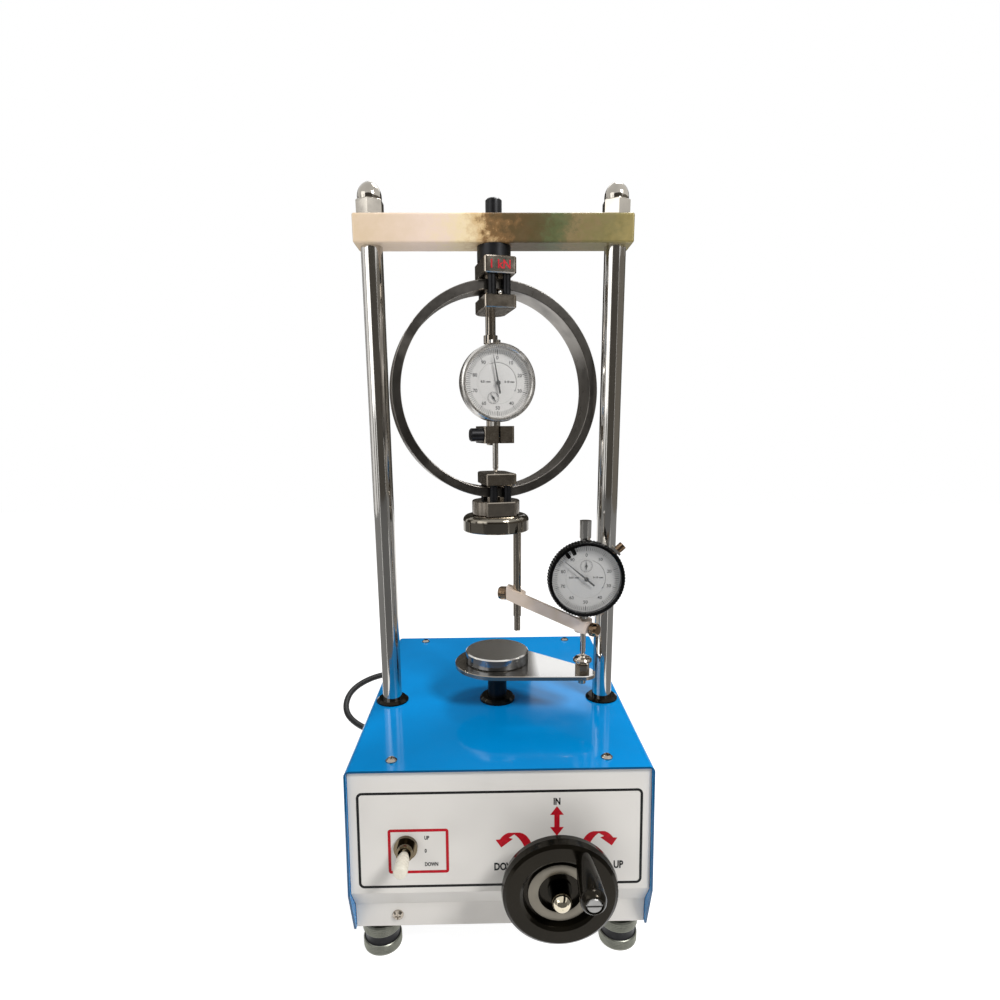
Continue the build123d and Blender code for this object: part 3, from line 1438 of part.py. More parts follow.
# Lever of the switch: ball on a cross pin in the bush and a pale sleeve that widens outwards
with BuildPart() as toggle_lever:
    with Locations(lever_face):
        Sphere(lever_ball / 2)
    with BuildSketch(lever_cross):
        Circle(lever_pin / 2)
    extrude(amount=switch_bush / 2 - touch_gap, both=True)
    revolve(
        half_section(
            lever_face, (0, 0), (lever_neck / 2, 0), (lever_neck / 2, 0.65 * lever_ball),
            (lever_root_diameter / 2, 0.75 * lever_ball), (0.46 * lever_diameter, 0.45 * lever_length),
            (lever_diameter / 2, 0.8 * lever_length), (lever_diameter / 2, 0.92 * lever_length),
            (0.36 * lever_diameter, lever_length), (0, lever_length),
        ),
        axis=axis_of(lever_face),
    )
save(toggle_lever.part, "toggle_lever")

# Gland: nut on the rear panel and the tapered sleeve that the lead comes out of
gland_frame = Plane((gland_x, case_rear, gland_z), x_dir=(1, 0, 0), z_dir=(0, 1, 0))
with BuildPart() as cord_gland:
    revolve(
        half_section(
            gland_frame, (0, -gland_inside), (gland_thread / 2, -gland_inside), (gland_thread / 2, 0),
            (gland_nut / 2, 0), (gland_nut / 2, gland_nut_length - 1), (gland_nut / 2 - 1, gland_nut_length),
            (gland_sleeve_root / 2, gland_nut_length), (gland_sleeve_tip / 2, gland_reach), (0, gland_reach),
        ),
        axis=axis_of(gland_frame),
    )
save(cord_gland.part, "cord_gland")

# Free run of the lead: out of the gland, round a loop to the left and down to the floor
coil_start = (coil_x - cord_diameter, coil_y - coil_outer, cord_rest)
cord_route = [
    (gland_x, case_rear + gland_reach, gland_z),
    (gland_x, case_rear + 61.0, gland_z),
    (-95.0, case_rear + 84.0, 84.0),
    (-127.0, case_rear + 87.0, 80.0),
    (-158.7, case_rear + 79.3, 76.1),
    (-180.9, case_rear + 59.2, 66.7),
    (-180.9, case_rear + 30.8, 53.3),
    (-158.7, case_rear + 10.7, 43.9),
    (-128.0, case_rear + 11.5, 33.0),
    (-96.0, case_rear + 17.0, 20.0),
    (-62.0, case_rear + 25.0, 9.0),
    (-26.0, case_rear + 32.0, 4.4),
    (6.0, coil_start[1], cord_rest),
    coil_start,
]


def bend_radius(before, corner, after):
    """Largest arc that leaves a tenth of the shorter run straight at each corner."""
    into = Vector(*corner) - Vector(*before)
    out = Vector(*after) - Vector(*corner)
    turn = radians(into.get_angle(out))
    return 0.45 * min(into.length, out.length) / tan(turn / 2)


cord_radii = [bend_radius(*cord_route[i - 1:i + 2]) for i in range(1, len(cord_route) - 1)]
with BuildPart() as mains_cord:
    with BuildLine() as cord_line:
        FilletPolyline(*cord_route, radius=cord_radii)
    cord_wire = cord_line.wire()
    with BuildSketch(cord_wire ^ 0):
        Circle(cord_diameter / 2)
    sweep(path=cord_wire)
save(mains_cord.part, "mains_cord")
print("cord radii", [round(radius, 1) for radius in cord_radii])
cord_volume = pi * cord_diameter ** 2 / 4 * cord_wire.length
print("cord length", round(cord_wire.length, 1))
print("cord volume ratio", round(mains_cord.part.volume / cord_volume, 5))

# Coil of the rest of the lead: spirals in on the floor, climbs one layer and spirals out again
in_angle = 2 * pi * coil_turns
climb_angle = pi
whole_angle = 2 * in_angle + climb_angle
coil_inner = coil_outer - coil_turns * coil_pitch


def coil_point(angle):
    """Centre of the lead at a winding angle, starting at the front of the coil."""
    if angle <= in_angle:
        radius = coil_outer - coil_pitch * angle / (2 * pi)
        rise = 0.0
    elif angle <= in_angle + climb_angle:
        share = (angle - in_angle) / climb_angle
        radius = coil_inner - coil_tuck * sin(pi * share)
        rise = coil_pitch * share ** 2 * (3 - 2 * share)
    else:
        radius = coil_inner + coil_pitch * (angle - in_angle - climb_angle) / (2 * pi)
        rise = coil_pitch
    turn = angle - pi / 2
    return Vector(coil_x + radius * cos(turn), coil_y + radius * sin(turn), cord_rest + rise)


def coil_heading(angle):
    """Direction of the lead at a winding angle."""
    step = 1e-4
    low = max(angle - step, 0.0)
    high = min(angle + step, whole_angle)
    return (coil_point(high) - coil_point(low)).normalized()


def biarc_joint(start, start_way, finish, finish_way):
    """Point where two arcs meet that leave the start and reach the finish along the given directions."""
    gap = finish - start
    total = start_way + finish_way
    spread = 2 * (1 - start_way.dot(finish_way))
    reach = (-gap.dot(total) + sqrt(gap.dot(total) ** 2 + spread * gap.dot(gap))) / spread
    return (start + finish + (start_way - finish_way) * reach) * 0.5


quarter_count = round(whole_angle / (pi / 2))
quarter_angles = [whole_angle * i / quarter_count for i in range(quarter_count + 1)]
start_way = Vector(1, 0, 0)
end_way = Vector(-1, 0, 0)
ways = [start_way] + [coil_heading(angle) for angle in quarter_angles[1:-1]] + [end_way]
coil_end = coil_point(whole_angle) + end_way * coil_tail
with BuildPart() as cord_coil:
    with BuildLine() as coil_line:
        Line(Vector(*coil_start), coil_point(0))
        for i in range(quarter_count):
            here, there = coil_point(quarter_angles[i]), coil_point(quarter_angles[i + 1])
            joint = biarc_joint(here, ways[i], there, ways[i + 1])
            first_arc = TangentArc(here, joint, tangent=ways[i])
            TangentArc(joint, there, tangent=first_arc % 1)
        Line(coil_point(whole_angle), coil_end)
    coil_wire = coil_line.wire()
    with BuildSketch(Plane(coil_start, x_dir=(0, 1, 0), z_dir=(1, 0, 0))):
        Circle(cord_diameter / 2)
    sweep(path=coil_wire)
save(cord_coil.part, "cord_coil")
coil_length = coil_wire.length
point_step = 4.0
coil_points = [coil_wire @ (i * point_step / coil_length) for i in range(int(coil_length / point_step) + 1)]
skip = ceil(3 * cord_diameter / point_step)
least_gap = min(
    (coil_points[i] - coil_points[j]).length - cord_diameter
    for i in range(len(coil_points)) for j in range(i + skip, len(coil_points))
)
coil_volume = pi * cord_diameter ** 2 / 4 * coil_length
print("coil length", round(coil_length, 1), "least gap", round(least_gap, 2))
print("coil volume ratio", round(cord_coil.part.volume / coil_volume, 5))

# Plug on the end of the coil, lying on the floor
plug_frame = Plane(coil_end, x_dir=(0, -1, 0), z_dir=(-1, 0, 0))
with BuildPart() as mains_plug:
    with BuildSketch(plug_frame):
        Circle(0.75 * cord_diameter)
    with BuildSketch(moved(plug_frame, z=plug_neck)):
        Circle(0.9 * cord_diameter)
    loft()
    with BuildSketch(moved(plug_frame, z=plug_neck)):
        RectangleRounded(plug_width, plug_height, 0.3 * plug_height)
    extrude(amount=plug_length - plug_neck)
    chamfer(mains_plug.edges().group_by(Axis.X)[0], 1.0)
    with BuildSketch(moved(plug_frame, z=plug_length)):
        with Locations((-pin_spread, -2), (pin_spread, -2)):
            Rectangle(pin_thickness, pin_width)
        with Locations((0, 4.5)):
            Rectangle(pin_width, pin_thickness)
    extrude(amount=pin_length)
save(mains_plug.part, "mains_plug")
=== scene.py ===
"""Looks of a bench compression tester for soil specimens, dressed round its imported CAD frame."""

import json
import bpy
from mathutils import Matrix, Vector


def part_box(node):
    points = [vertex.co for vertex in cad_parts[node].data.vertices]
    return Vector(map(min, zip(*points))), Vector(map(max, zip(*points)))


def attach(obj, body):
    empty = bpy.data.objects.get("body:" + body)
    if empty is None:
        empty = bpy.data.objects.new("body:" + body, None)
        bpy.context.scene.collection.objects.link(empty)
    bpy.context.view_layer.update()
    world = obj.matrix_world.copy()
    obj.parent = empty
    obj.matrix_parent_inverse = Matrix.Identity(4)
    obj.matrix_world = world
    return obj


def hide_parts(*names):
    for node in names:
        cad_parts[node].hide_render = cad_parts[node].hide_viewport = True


bl_info = {
    "name": "Soil Tester Looks",
    "version": (1, 0, 0),
    "blender": (4, 5, 0),
    "location": "View3D > Sidebar > Soil Tester",
    "description": "Enamel, chrome, dial print, panel print and mains lead of a soil compression tester",
    "category": "Object",
}

from math import atan2, cos, pi, radians, sin, tan

import bmesh
import bpy
from bpy.props import FloatProperty, FloatVectorProperty, IntProperty, PointerProperty
from bpy.types import Operator, Panel, PropertyGroup
from mathutils import Matrix, Vector

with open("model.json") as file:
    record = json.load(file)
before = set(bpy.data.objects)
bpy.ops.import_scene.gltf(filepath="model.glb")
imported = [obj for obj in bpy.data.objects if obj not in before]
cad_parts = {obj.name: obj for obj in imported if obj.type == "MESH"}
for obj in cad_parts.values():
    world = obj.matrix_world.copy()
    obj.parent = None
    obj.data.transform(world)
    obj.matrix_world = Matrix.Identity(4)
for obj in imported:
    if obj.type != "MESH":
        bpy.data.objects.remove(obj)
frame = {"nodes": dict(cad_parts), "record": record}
bpy.ops.object.select_all(action="DESELECT")
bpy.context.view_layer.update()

MM = 0.001


def linear(code):
    """Linear colour of an sRGB hex value."""
    parts = [int(code[i:i + 2], 16) / 255 for i in (1, 3, 5)]
    return tuple(p / 12.92 if p <= 0.04045 else ((p + 0.055) / 1.055) ** 2.4 for p in parts)


def length(name, description, millimetres):
    """A size that the user may change, given in millimetres."""
    return FloatProperty(name=name, description=description, default=millimetres * MM, unit="LENGTH",
                         precision=5)


def paint(name, description, code):
    """A colour that the user may change, given as sRGB hex."""
    return FloatVectorProperty(name=name, description=description, default=linear(code), subtype="COLOR",
                               min=0.0, max=1.0, size=3)


class TesterSizes(PropertyGroup):
    """Sizes of the pieces that are modelled here."""
    ink: length("Ink thickness", "How far printed marks stand off their plate", 0.08)
    border_line: length("Border line", "Width of the black line round the panel print", 1.8)
    switch_line: length("Switch frame line", "Width of the red line round the switch", 2.0)
    switch_text: length("Switch lettering", "Height of the three words beside the switch", 2.8)
    wheel_text: length("Wheel lettering", "Height of the words round the handwheel", 5.6)
    pull_text: length("Pull lettering", "Height of the words at the straight arrow", 5.0)
    dial_text: length("Dial numbers", "Height of the numbers on the dials", 2.7)
    unit_text: length("Dial units", "Height of the unit legends on the dials", 1.6)
    knurl_depth: length("Knurl depth", "Height of the knurl points on the feet", 0.36)
    cord_diameter: length("Lead diameter", "Outside diameter of the mains lead", 7.0)
    dial_marks: IntProperty(name="Dial divisions", description="Divisions round each dial", default=100, min=10)
    knurl_points: IntProperty(name="Knurl points", description="Knurl points round a foot", default=84, min=12)
    key_power: FloatProperty(name="Key lamp", description="Power of the large lamp at the upper right",
                             default=16.0, unit="POWER")


class TesterColours(PropertyGroup):
    """Colours of the finishes."""
    enamel: paint("Cover enamel", "Blue gloss enamel of the case cover", "#008FDA")
    panel: paint("Panel enamel", "Pale satin enamel of the panels", "#E3DFD9")
    chrome: paint("Chrome", "Chrome plate on the columns", "#D0CDC8")
    nickel: paint("Nickel", "Nickel plate on the screws, rods and blocks", "#A89F93")
    steel: paint("Ground steel", "Ground steel of the proving ring", "#7A7671")
    oxide: paint("Black oxide", "Blackened steel of studs and spindle", "#151517")
    bakelite: paint("Bakelite", "Black of the handwheel, handle and bushes", "#0D0B07")
    ivory: paint("Ivory sleeve", "Switch lever sleeve", "#EFE9D8")
    face: paint("Dial face", "White lacquer of the dial faces", "#CBC9C6")
    black_ink: paint("Black ink", "Screen print and dial print", "#141414")
    red_ink: paint("Red ink", "Screen printed frame and arrows", "#B50A1E")
    brass: paint("Brass", "Worm wheel and plug pins", "#B99B6A")
    sheath: paint("Lead sheath", "PVC of the mains lead and plug", "#161616")


def sizes():
    """The sizes held in the scene."""
    return bpy.context.scene.tester_sizes


def colours():
    """The colours held in the scene."""
    return bpy.context.scene.tester_colours


# Materials

def add_node(tree, kind, inputs=None, links=None, stops=None, feeds=None, **settings):
    """Adds one node with its settings, input values, linked inputs, colour stops and what it feeds."""
    node = tree.nodes.new("ShaderNode" + kind)
    for key, value in settings.items():
        setattr(node, key, value)
    for key, value in (inputs or {}).items():
        node.inputs[key].default_value = value
    for key, socket in (links or {}).items():
        tree.links.new(socket, node.inputs[key])
    if stops:
        ramp = node.color_ramp.elements
        while len(ramp) < len(stops):
            ramp.new(1.0)
        for element, (place, colour) in zip(ramp, stops):
            element.position = place
            element.color = (*colour, 1.0)
    if feeds is not None:
        tree.links.new(node.outputs[0], feeds)
    return node


def per(millimetres):
    """Texture scale whose features are about that many millimetres across."""
    return 1.0 / (millimetres * MM)


def shade(colour, share):
    """The colour made lighter or darker by a share."""
    return tuple(min(1.0, max(0.0, part * share)) for part in colour)


def made(name):
    """A finished material, by its name."""
    return bpy.data.materials[name]


def begin(name, colour, **constants):
    """A new material: its tree, its shader with the constants set, and the texture coordinates."""
    material = bpy.data.materials.new(name)
    material.use_nodes = True
    material.diffuse_color = (*colour, 1.0)
    tree = material.node_tree
    shader = tree.nodes["Principled BSDF"]
    shader.inputs["Base Color"].default_value = (*colour, 1.0)
    for key, value in constants.items():
        shader.inputs[key.replace("_", " ")].default_value = value
    return tree, shader, add_node(tree, "TexCoord").outputs


def wear(tree, shader, spot, tones, tone_mm, rough, rough_mm, bump, bump_mm):
    """Uneven colour, uneven gloss and a fine relief, each at its own size in millimetres.

    With no tones or no range of gloss, that one is left to the material. Returns the cloud and the relief.
    """
    where = {"Vector": spot["Object"]}
    cloud = add_node(tree, "TexNoise", {"Scale": per(tone_mm), "Detail": 2.0, "Roughness": 0.5}, where)
    if tones:
        stops = [(0.3 + 0.4 * i / (len(tones) - 1), tone) for i, tone in enumerate(tones)]
        add_node(tree, "ValToRGB", links={"Fac": cloud.outputs["Fac"]}, stops=stops,
                 feeds=shader.inputs["Base Color"])
    if rough:
        smear = add_node(tree, "TexNoise", {"Scale": per(rough_mm), "Detail": 6.0, "Roughness": 0.7}, where)
        add_node(tree, "MapRange", {"From Min": 0.3, "From Max": 0.7, "To Min": rough[0], "To Max": rough[1]},
                 {"Value": smear.outputs["Fac"]}, feeds=shader.inputs["Roughness"])
    grit = add_node(tree, "TexNoise", {"Scale": per(bump_mm), "Detail": 3.0}, where)
    relief = add_node(tree, "Bump", {"Strength": 1.0, "Distance": bump * MM}, {"Height": grit.outputs["Fac"]},
                      feeds=shader.inputs["Normal"])
    return cloud.outputs["Fac"], relief


def gloss_enamel():
    """Stove enamel on folded sheet: deep wet gloss with faint orange peel, and painted shade on the faces that
    point to the front or back, such as its cut edges.
    """
    tone = colours().enamel
    tree, shader, spot = begin("gloss stove enamel", tone, IOR=1.4, Coat_Weight=0.06, Coat_Roughness=0.03)
    cloud = wear(tree, shader, spot, (), 70, (0.05, 0.13), 28, 0.003, 3.5)[0]
    # Painted shade: faces that point to the front or back are darkened, down to 0.3 of the enamel colour
    way = add_node(tree, "SeparateXYZ", links={"Vector": spot["Normal"]}).outputs
    edge = add_node(tree, "Math", links={0: way["Y"]}, operation="ABSOLUTE").outputs[0]
    cut = add_node(tree, "MapRange", {"From Min": 0.6, "From Max": 0.9, "To Min": 0.0, "To Max": -1.0},
                   {"Value": edge}).outputs[0]
    coat = add_node(tree, "Math", links={0: cloud, 1: cut}, operation="ADD").outputs[0]
    add_node(tree, "ValToRGB", links={"Fac": coat}, feeds=shader.inputs["Base Color"], stops=[
        (0.0, shade(tone, 0.3)), (0.3, shade(tone, 0.93)), (0.5, tone), (0.7, shade(tone, 1.05)),
    ])


def chrome_plate():
    """Chrome on turned steel: near mirror, with fine lengthwise drawing and dull finger marks."""
    tone = colours().chrome
    tree, shader, spot = begin("chrome plate", tone, Metallic=1.0)
    relief = wear(tree, shader, spot, (shade(tone, 0.9), tone), 45, (0.05, 0.13), 12, 0.002, 0.9)[1]
    # Drawing lines 0.8 mm apart and 25 times as long
    drawn = add_node(tree, "Mapping", {"Scale": (1.0, 1.0, 0.04)}, {"Vector": spot["Object"]}).outputs[0]
    add_node(tree, "TexNoise", {"Scale": per(0.8), "Detail": 2.0, "Roughness": 0.5}, {"Vector": drawn},
             feeds=relief.inputs["Height"])


def smoked_nickel():
    """Nickel of the wheel's shaft nut: creamy bright on its dome, smoked dark at its root."""
    tone = linear("#D2C8B2")
    tree, shader, spot = begin("smoked nickel", tone, Metallic=1.0)
    wear(tree, shader, spot, (), 8, (0.06, 0.14), 5, 0.002, 0.7)
    depth = add_node(tree, "SeparateXYZ", links={"Vector": spot["Object"]}).outputs["Y"]
    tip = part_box("wheel_shaft")[0].y
    reach = add_node(tree, "MapRange", {"From Min": tip, "From Max": tip + 14 * MM},
                     {"Value": depth}).outputs[0]
    add_node(tree, "ValToRGB", links={"Fac": reach}, feeds=shader.inputs["Base Color"], stops=[
        (0.0, tone), (0.5, tone), (0.75, linear("#4A463C")), (0.9, linear("#1B1A17")),
    ])


def plate_chrome():
    """Chrome of the anvil plate, with painted reflection in its colour: near white on the upward faces of its
    arm, grey on its sides and on the top under the platens, where it is also duller.
    """
    painted_reflection_grey, bright = linear("#958F86"), linear("#F6F5F3")
    tree, shader, spot = begin("polished chrome", bright, Metallic=1.0)
    wear(tree, shader, spot, (), 40, (), 10, 0.001, 1.0)
    # Painted reflection: only the upward faces of the arm get the near white colour and the lower roughness,
    # and all other faces are grey
    along = add_node(tree, "SeparateXYZ", links={"Vector": spot["Object"]}).outputs["X"]
    arm = add_node(tree, "MapRange", {"From Min": 20 * MM, "From Max": 34 * MM}, {"Value": along}).outputs[0]
    upright = add_node(tree, "SeparateXYZ", links={"Vector": spot["Normal"]}).outputs["Z"]
    top = add_node(tree, "Math", links={0: arm, 1: upright}, operation="MULTIPLY", use_clamp=True).outputs[0]
    add_node(tree, "ValToRGB", links={"Fac": top}, stops=[(0.0, painted_reflection_grey), (1.0, bright)],
             feeds=shader.inputs["Base Color"])
    add_node(tree, "MapRange", {"To Min": 0.26, "To Max": 0.1}, {"Value": top},
             feeds=shader.inputs["Roughness"])


def lapped_chrome():
    """Chrome over a lapped platen: soft on its worked top and a mirror round its side, with painted reflection
    in its colour, pale on the top and bluish grey round the side.
    """
    side, top = linear("#8E9298"), linear("#DAD7D1")
    tree, shader, spot = begin("lapped chrome", top, Metallic=1.0)
    wear(tree, shader, spot, (), 18, (), 7, 0.002, 0.8)
    # Painted reflection: the colour runs from bluish grey on the side to pale on the top, set by which way each
    # face points
    upright = add_node(tree, "SeparateXYZ", links={"Vector": spot["Normal"]}).outputs["Z"]
    add_node(tree, "ValToRGB", links={"Fac": upright}, stops=[(0.2, side), (0.8, top)],
             feeds=shader.inputs["Base Color"])
    add_node(tree, "MapRange", {"From Min": 0.2, "From Max": 0.8, "To Min": 0.12, "To Max": 0.24},
             {"Value": upright}, feeds=shader.inputs["Roughness"])


def ground_steel():
    """Ground spring steel of the ring: satin and ground in circles, with painted shade in its colour: dark on
    its flat sides, paler in its bore and round its outside.
    """
    tone = colours().steel
    tree, shader, spot = begin("ground ring steel", tone, Metallic=1.0)
    cloud, relief = wear(tree, shader, spot, (), 30, (0.26, 0.35), 9, 0.001, 0.7)
    # Painted shade: the flat faces are darkened and the bore and outer wall lightened, set by which way each
    # face points, over the cloud's uneven tone
    way = add_node(tree, "SeparateXYZ", links={"Vector": spot["Normal"]}).outputs
    flat = add_node(tree, "Math", links={0: way["Y"]}, operation="ABSOLUTE").outputs[0]
    side = add_node(tree, "MapRange", {"From Min": 0.5, "From Max": 0.9, "To Min": 0.2, "To Max": -0.2},
                    {"Value": flat}).outputs[0]
    cloud_and_painted_shade = add_node(tree, "Math", links={0: cloud, 1: side}, operation="ADD").outputs[0]
    add_node(tree, "ValToRGB", links={"Fac": cloud_and_painted_shade}, feeds=shader.inputs["Base Color"], stops=[
        (0.2, shade(tone, 0.5)), (0.4, shade(tone, 0.65)), (0.6, shade(tone, 1.6)), (0.8, shade(tone, 1.85)),
    ])
    middle = box_of("proving_ring")[2] * -MM
    centred = add_node(tree, "Mapping", {"Location": middle}, {"Vector": spot["Object"]}).outputs[0]
    turned = add_node(tree, "Mapping", {"Rotation": (0.0, 0.0, -RING_YAW)}, {"Vector": centred}).outputs[0]
    # Grinding lines 0.6 mm apart, coarser than real ones so that they show
    rings = add_node(tree, "TexWave", {"Scale": per(0.6) / 20, "Distortion": 2.0, "Detail": 2.0},
                     {"Vector": turned}, wave_type="RINGS", rings_direction="Y")
    tree.links.new(rings.outputs["Fac"], relief.inputs["Height"])


def yellow_passivate():
    """Zinc plate with yellow chromate: its colour runs from rose and gold to brown and olive along the beam,
    partly the film's own hues and partly painted reflection, light at the left and dark in the middle.
    """
    tree, shader, spot = begin("yellow passivated zinc", linear("#CDAA6C"), Metallic=0.2)
    drift = wear(tree, shader, spot, (), 40, (0.3, 0.42), 8, 0.008, 0.6)[0]
    along = add_node(tree, "SeparateXYZ", links={"Vector": spot["Object"]}).outputs["X"]
    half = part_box("crossbeam")[1].x
    span = add_node(tree, "MapRange", {"From Min": -half, "From Max": half}, {"Value": along}).outputs[0]
    wander = add_node(tree, "MapRange", {"To Min": -0.09, "To Max": 0.09}, {"Value": drift}).outputs[0]
    fleck = add_node(tree, "TexNoise", {"Scale": per(5.0), "Detail": 5.0, "Roughness": 0.65},
                     {"Vector": spot["Object"]}).outputs["Fac"]
    mottle = add_node(tree, "MapRange", {"From Min": 0.3, "From Max": 0.7, "To Min": -0.045, "To Max": 0.045},
                      {"Value": fleck}).outputs[0]
    broad = add_node(tree, "Math", links={0: span, 1: wander}, operation="ADD").outputs[0]
    film_and_painted_reflection = add_node(tree, "Math", links={0: broad, 1: mottle}, operation="ADD").outputs[0]
    # Painted reflection and film hues: light at the left end, dark brown in the middle, olive to the right
    add_node(tree, "ValToRGB", links={"Fac": film_and_painted_reflection}, feeds=shader.inputs["Base Color"], stops=[
        (place, linear(code)) for place, code in (
            (0.0, "#EBD2B0"), (0.28, "#FBE3D0"), (0.39, "#FBE6BC"), (0.46, "#DDBC8A"), (0.5, "#8A6840"),
            (0.55, "#604C2C"), (0.66, "#574C2A"), (0.72, "#59603A"), (0.77, "#6A643E"), (0.81, "#84724C"),
            (0.88, "#7A7042"), (1.0, "#94844F"),
        )
    ])


def plain_finishes():
    """Finishes that are the same all over, apart from their wear.

    Each row is a name, a colour, the shader's constants and the tones as shares of the colour. Then come the
    size of the tones, the range and size of the gloss, and the height and width of the relief, in millimetres.
    """
    hue, metal = colours(), {"Metallic": 1.0}
    rows = [
        # Powder coat on the panels: soft sheen, fine pebble, slightly grubby in broad patches
        ("satin powder coat", hue.panel, {"IOR": 1.5}, (0.93, 1.0, 1.03), 55, (0.32, 0.46), 20, 0.008, 1.6),
        # Blackened steel: oily near black with a dull metal sheen
        ("black oxide steel", hue.oxide, {"Metallic": 0.6}, (0.6, 1.0, 1.8), 14, (0.28, 0.45), 6, 0.01, 0.6),
        # Pressed phenolic: brown black with a polished skin, flow marks and handling haze
        ("moulded bakelite", hue.bakelite,
         {"IOR": 1.42, "Specular_IOR_Level": 0.26, "Specular_Tint": (1.0, 0.88, 0.7, 1.0)},
         (0.7, 1.0, 1.4), 26, (0.1, 0.2), 9, 0.006, 1.2),
        # Nickelled knurl of the feet: warm grey with bright points and dull valleys
        ("knurled nickel steel", linear("#85867C"), metal, (0.88, 1.0, 1.08), 6, (0.3, 0.42), 3, 0.004, 0.5),
        # Turned or milled steel: mid grey, close tool lines, soft sheen
        ("machined steel", linear("#9B9A98"), metal, (0.8, 1.0, 1.1), 18, (0.28, 0.42), 6, 0.01, 0.7),
        # Sand cast housing: dark, grainy and dull
        ("sand cast iron", linear("#55565A"), {"Metallic": 0.4}, (0.7, 1.0, 1.2), 9, (0.55, 0.75), 5,
         0.12, 1.6),
        # Lacquer over a drawn motor can: black, slightly uneven
        ("motor can lacquer", linear("#202124"), {"IOR": 1.5}, (0.7, 1.0, 1.3), 20, (0.3, 0.45), 8, 0.02, 1.4),
        # Turned brass of the worm wheel and the plug's pins: yellow metal, tarnished in spots
        ("turned brass", hue.brass, metal, (0.6, 1.0, 1.15), 4, (0.18, 0.34), 3, 0.01, 0.5),
        # Cream switch sleeve: smooth, waxy, a little yellowed
        ("ivory plastic", hue.ivory, {"IOR": 1.49}, (0.94, 1.0), 8, (0.24, 0.32), 4, 0.0008, 0.8),
        # Acrylic window: clear, thin, with fine wipe marks in its gloss
        ("acrylic window", linear("#F7F7F5"), {"IOR": 1.49, "Alpha": 0.05}, (0.97, 1.0), 20, (0.02, 0.06), 9,
         0.001, 2.0),
        # Black plastic rim of the strain dial: satin, worn on its notches
        ("black rim plastic", linear("#070707"), {"IOR": 1.38, "Specular_IOR_Level": 0.12}, (0.8, 1.0, 2.0), 5,
         (0.16, 0.28), 4, 0.008, 0.7),
        # Soft PVC of the lead: black, dull, with a faint extruded skin
        ("pvc sheath", hue.sheath, {"IOR": 1.52}, (0.8, 1.0, 1.5), 16, (0.42, 0.58), 7, 0.012, 0.9),
        # Moulded plug and gland: black, fine spark texture
        ("moulded pvc", shade(hue.sheath, 1.1), {"IOR": 1.52}, (0.85, 1.0, 1.4), 11, (0.46, 0.6), 6, 0.03, 0.5),
    ]
    # White lacquer under the dial print: flat, even, faintly mottled; its copy at 0.82 of the colour is painted
    # shade, used on the strain dial's face
    for name, share in (("dial face lacquer", 1.0), ("aged dial lacquer", 0.82)):
        rows.append((name, shade(hue.face, share), {"IOR": 1.45}, (0.96, 1.0), 12, (0.42, 0.55), 6, 0.004, 0.5))
    # Screen ink: thin, solid and nearly matt, with a slightly starved edge here and there
    for name, tone in (("black screen ink", hue.black_ink), ("red screen ink", hue.red_ink)):
        rows.append((name, tone, {"IOR": 1.35}, (1.25, 1.0, 0.9), 2.2, (0.5, 0.65), 3, 0.004, 0.5))
    # Nickel plate: a warm, slightly smoky mirror that is softer than chrome. The satin rim and the turned steel
    # are brushed dull, and the bronzed ones are browned by handling
    for name, tone, rough in (
        ("nickel plate", hue.nickel, (0.07, 0.16)), ("plated block steel", hue.nickel, (0.14, 0.24)),
        ("bronzed nickel", linear("#6C614F"), (0.06, 0.12)), ("bronze nickel", linear("#86705A"), (0.1, 0.2)),
        ("smoky nickel", linear("#857F74"), (0.06, 0.14)), ("bright nickel", linear("#B3ADA3"), (0.05, 0.12)),
        ("satin nickel rim", linear("#D8D5D0"), (0.24, 0.32)),
        ("dark turned steel", linear("#757066"), (0.3, 0.4)),
    ):
        rows.append((name, tone, metal, (0.85, 1.0, 1.1), 12, rough, 6, 0.002, 0.7))
    for name, tone, constants, shares, *measures in rows:
        tree, shader, spot = begin(name, tone, **constants)
        wear(tree, shader, spot, [shade(tone, share) for share in shares], *measures)
    made("acrylic window").surface_render_method = "BLENDED"

    # Zinc plate with a thin chromate film on the dial arm: cream with a rose cast, satin
    tones = [linear(code) for code in ("#DDC8B1", "#E8D5C4", "#F2E2D6")]
    tree, shader, spot = begin("pale passivated zinc", tones[1], Metallic=0.25)
    wear(tree, shader, spot, tones, 22, (0.32, 0.46), 7, 0.01, 0.6)


# Finish of each slot of the record, and of the nodes that differ from their slot
FINISHES = {
    "cover_blue": "gloss stove enamel", "panel_grey": "satin powder coat", "plate_steel": "machined steel",
    "housing_iron": "sand cast iron", "motor_black": "motor can lacquer", "bright_chrome": "chrome plate",
    "ring_steel": "ground ring steel", "passivated_yellow": "yellow passivated zinc",
    "blued_steel": "black oxide steel", "black_bakelite": "moulded bakelite",
    "foot_steel": "knurled nickel steel", "ivory_sleeve": "ivory plastic",
    "dial_white": "dial face lacquer", "dial_glass": "acrylic window",
    "bezel_black": "black rim plastic", "gear_brass": "turned brass", "screw_brass": "turned brass",
    "cord_black": "pvc sheath", "plug_black": "moulded pvc", "needle_black": "black screen ink",
}
# The strain dial's face takes the dial lacquer darkened as painted shade
NODE_FINISHES = {
    "anvil_plate": "polished chrome", "lower_platen": "lapped chrome", "dial_arm": "pale passivated zinc",
    "crank_bolt": "machined steel", "strain_dial_face": "aged dial lacquer", "wheel_shaft": "smoked nickel",
    "anvil_screw": "nickel plate", "support_rod": "nickel plate", "dial_hanger_rod": "nickel plate",
    "case_screws": "nickel plate", "upper_ring_blocks": "plated block steel",
    "lower_ring_blocks": "plated block steel", "stem_clamp": "plated block steel",
    "toggle_switch": "bronzed nickel", "force_dial_bezel": "satin nickel rim", "upper_platen": "smoky nickel",
    "acorn_nuts": "bright nickel",
}


# Modelling

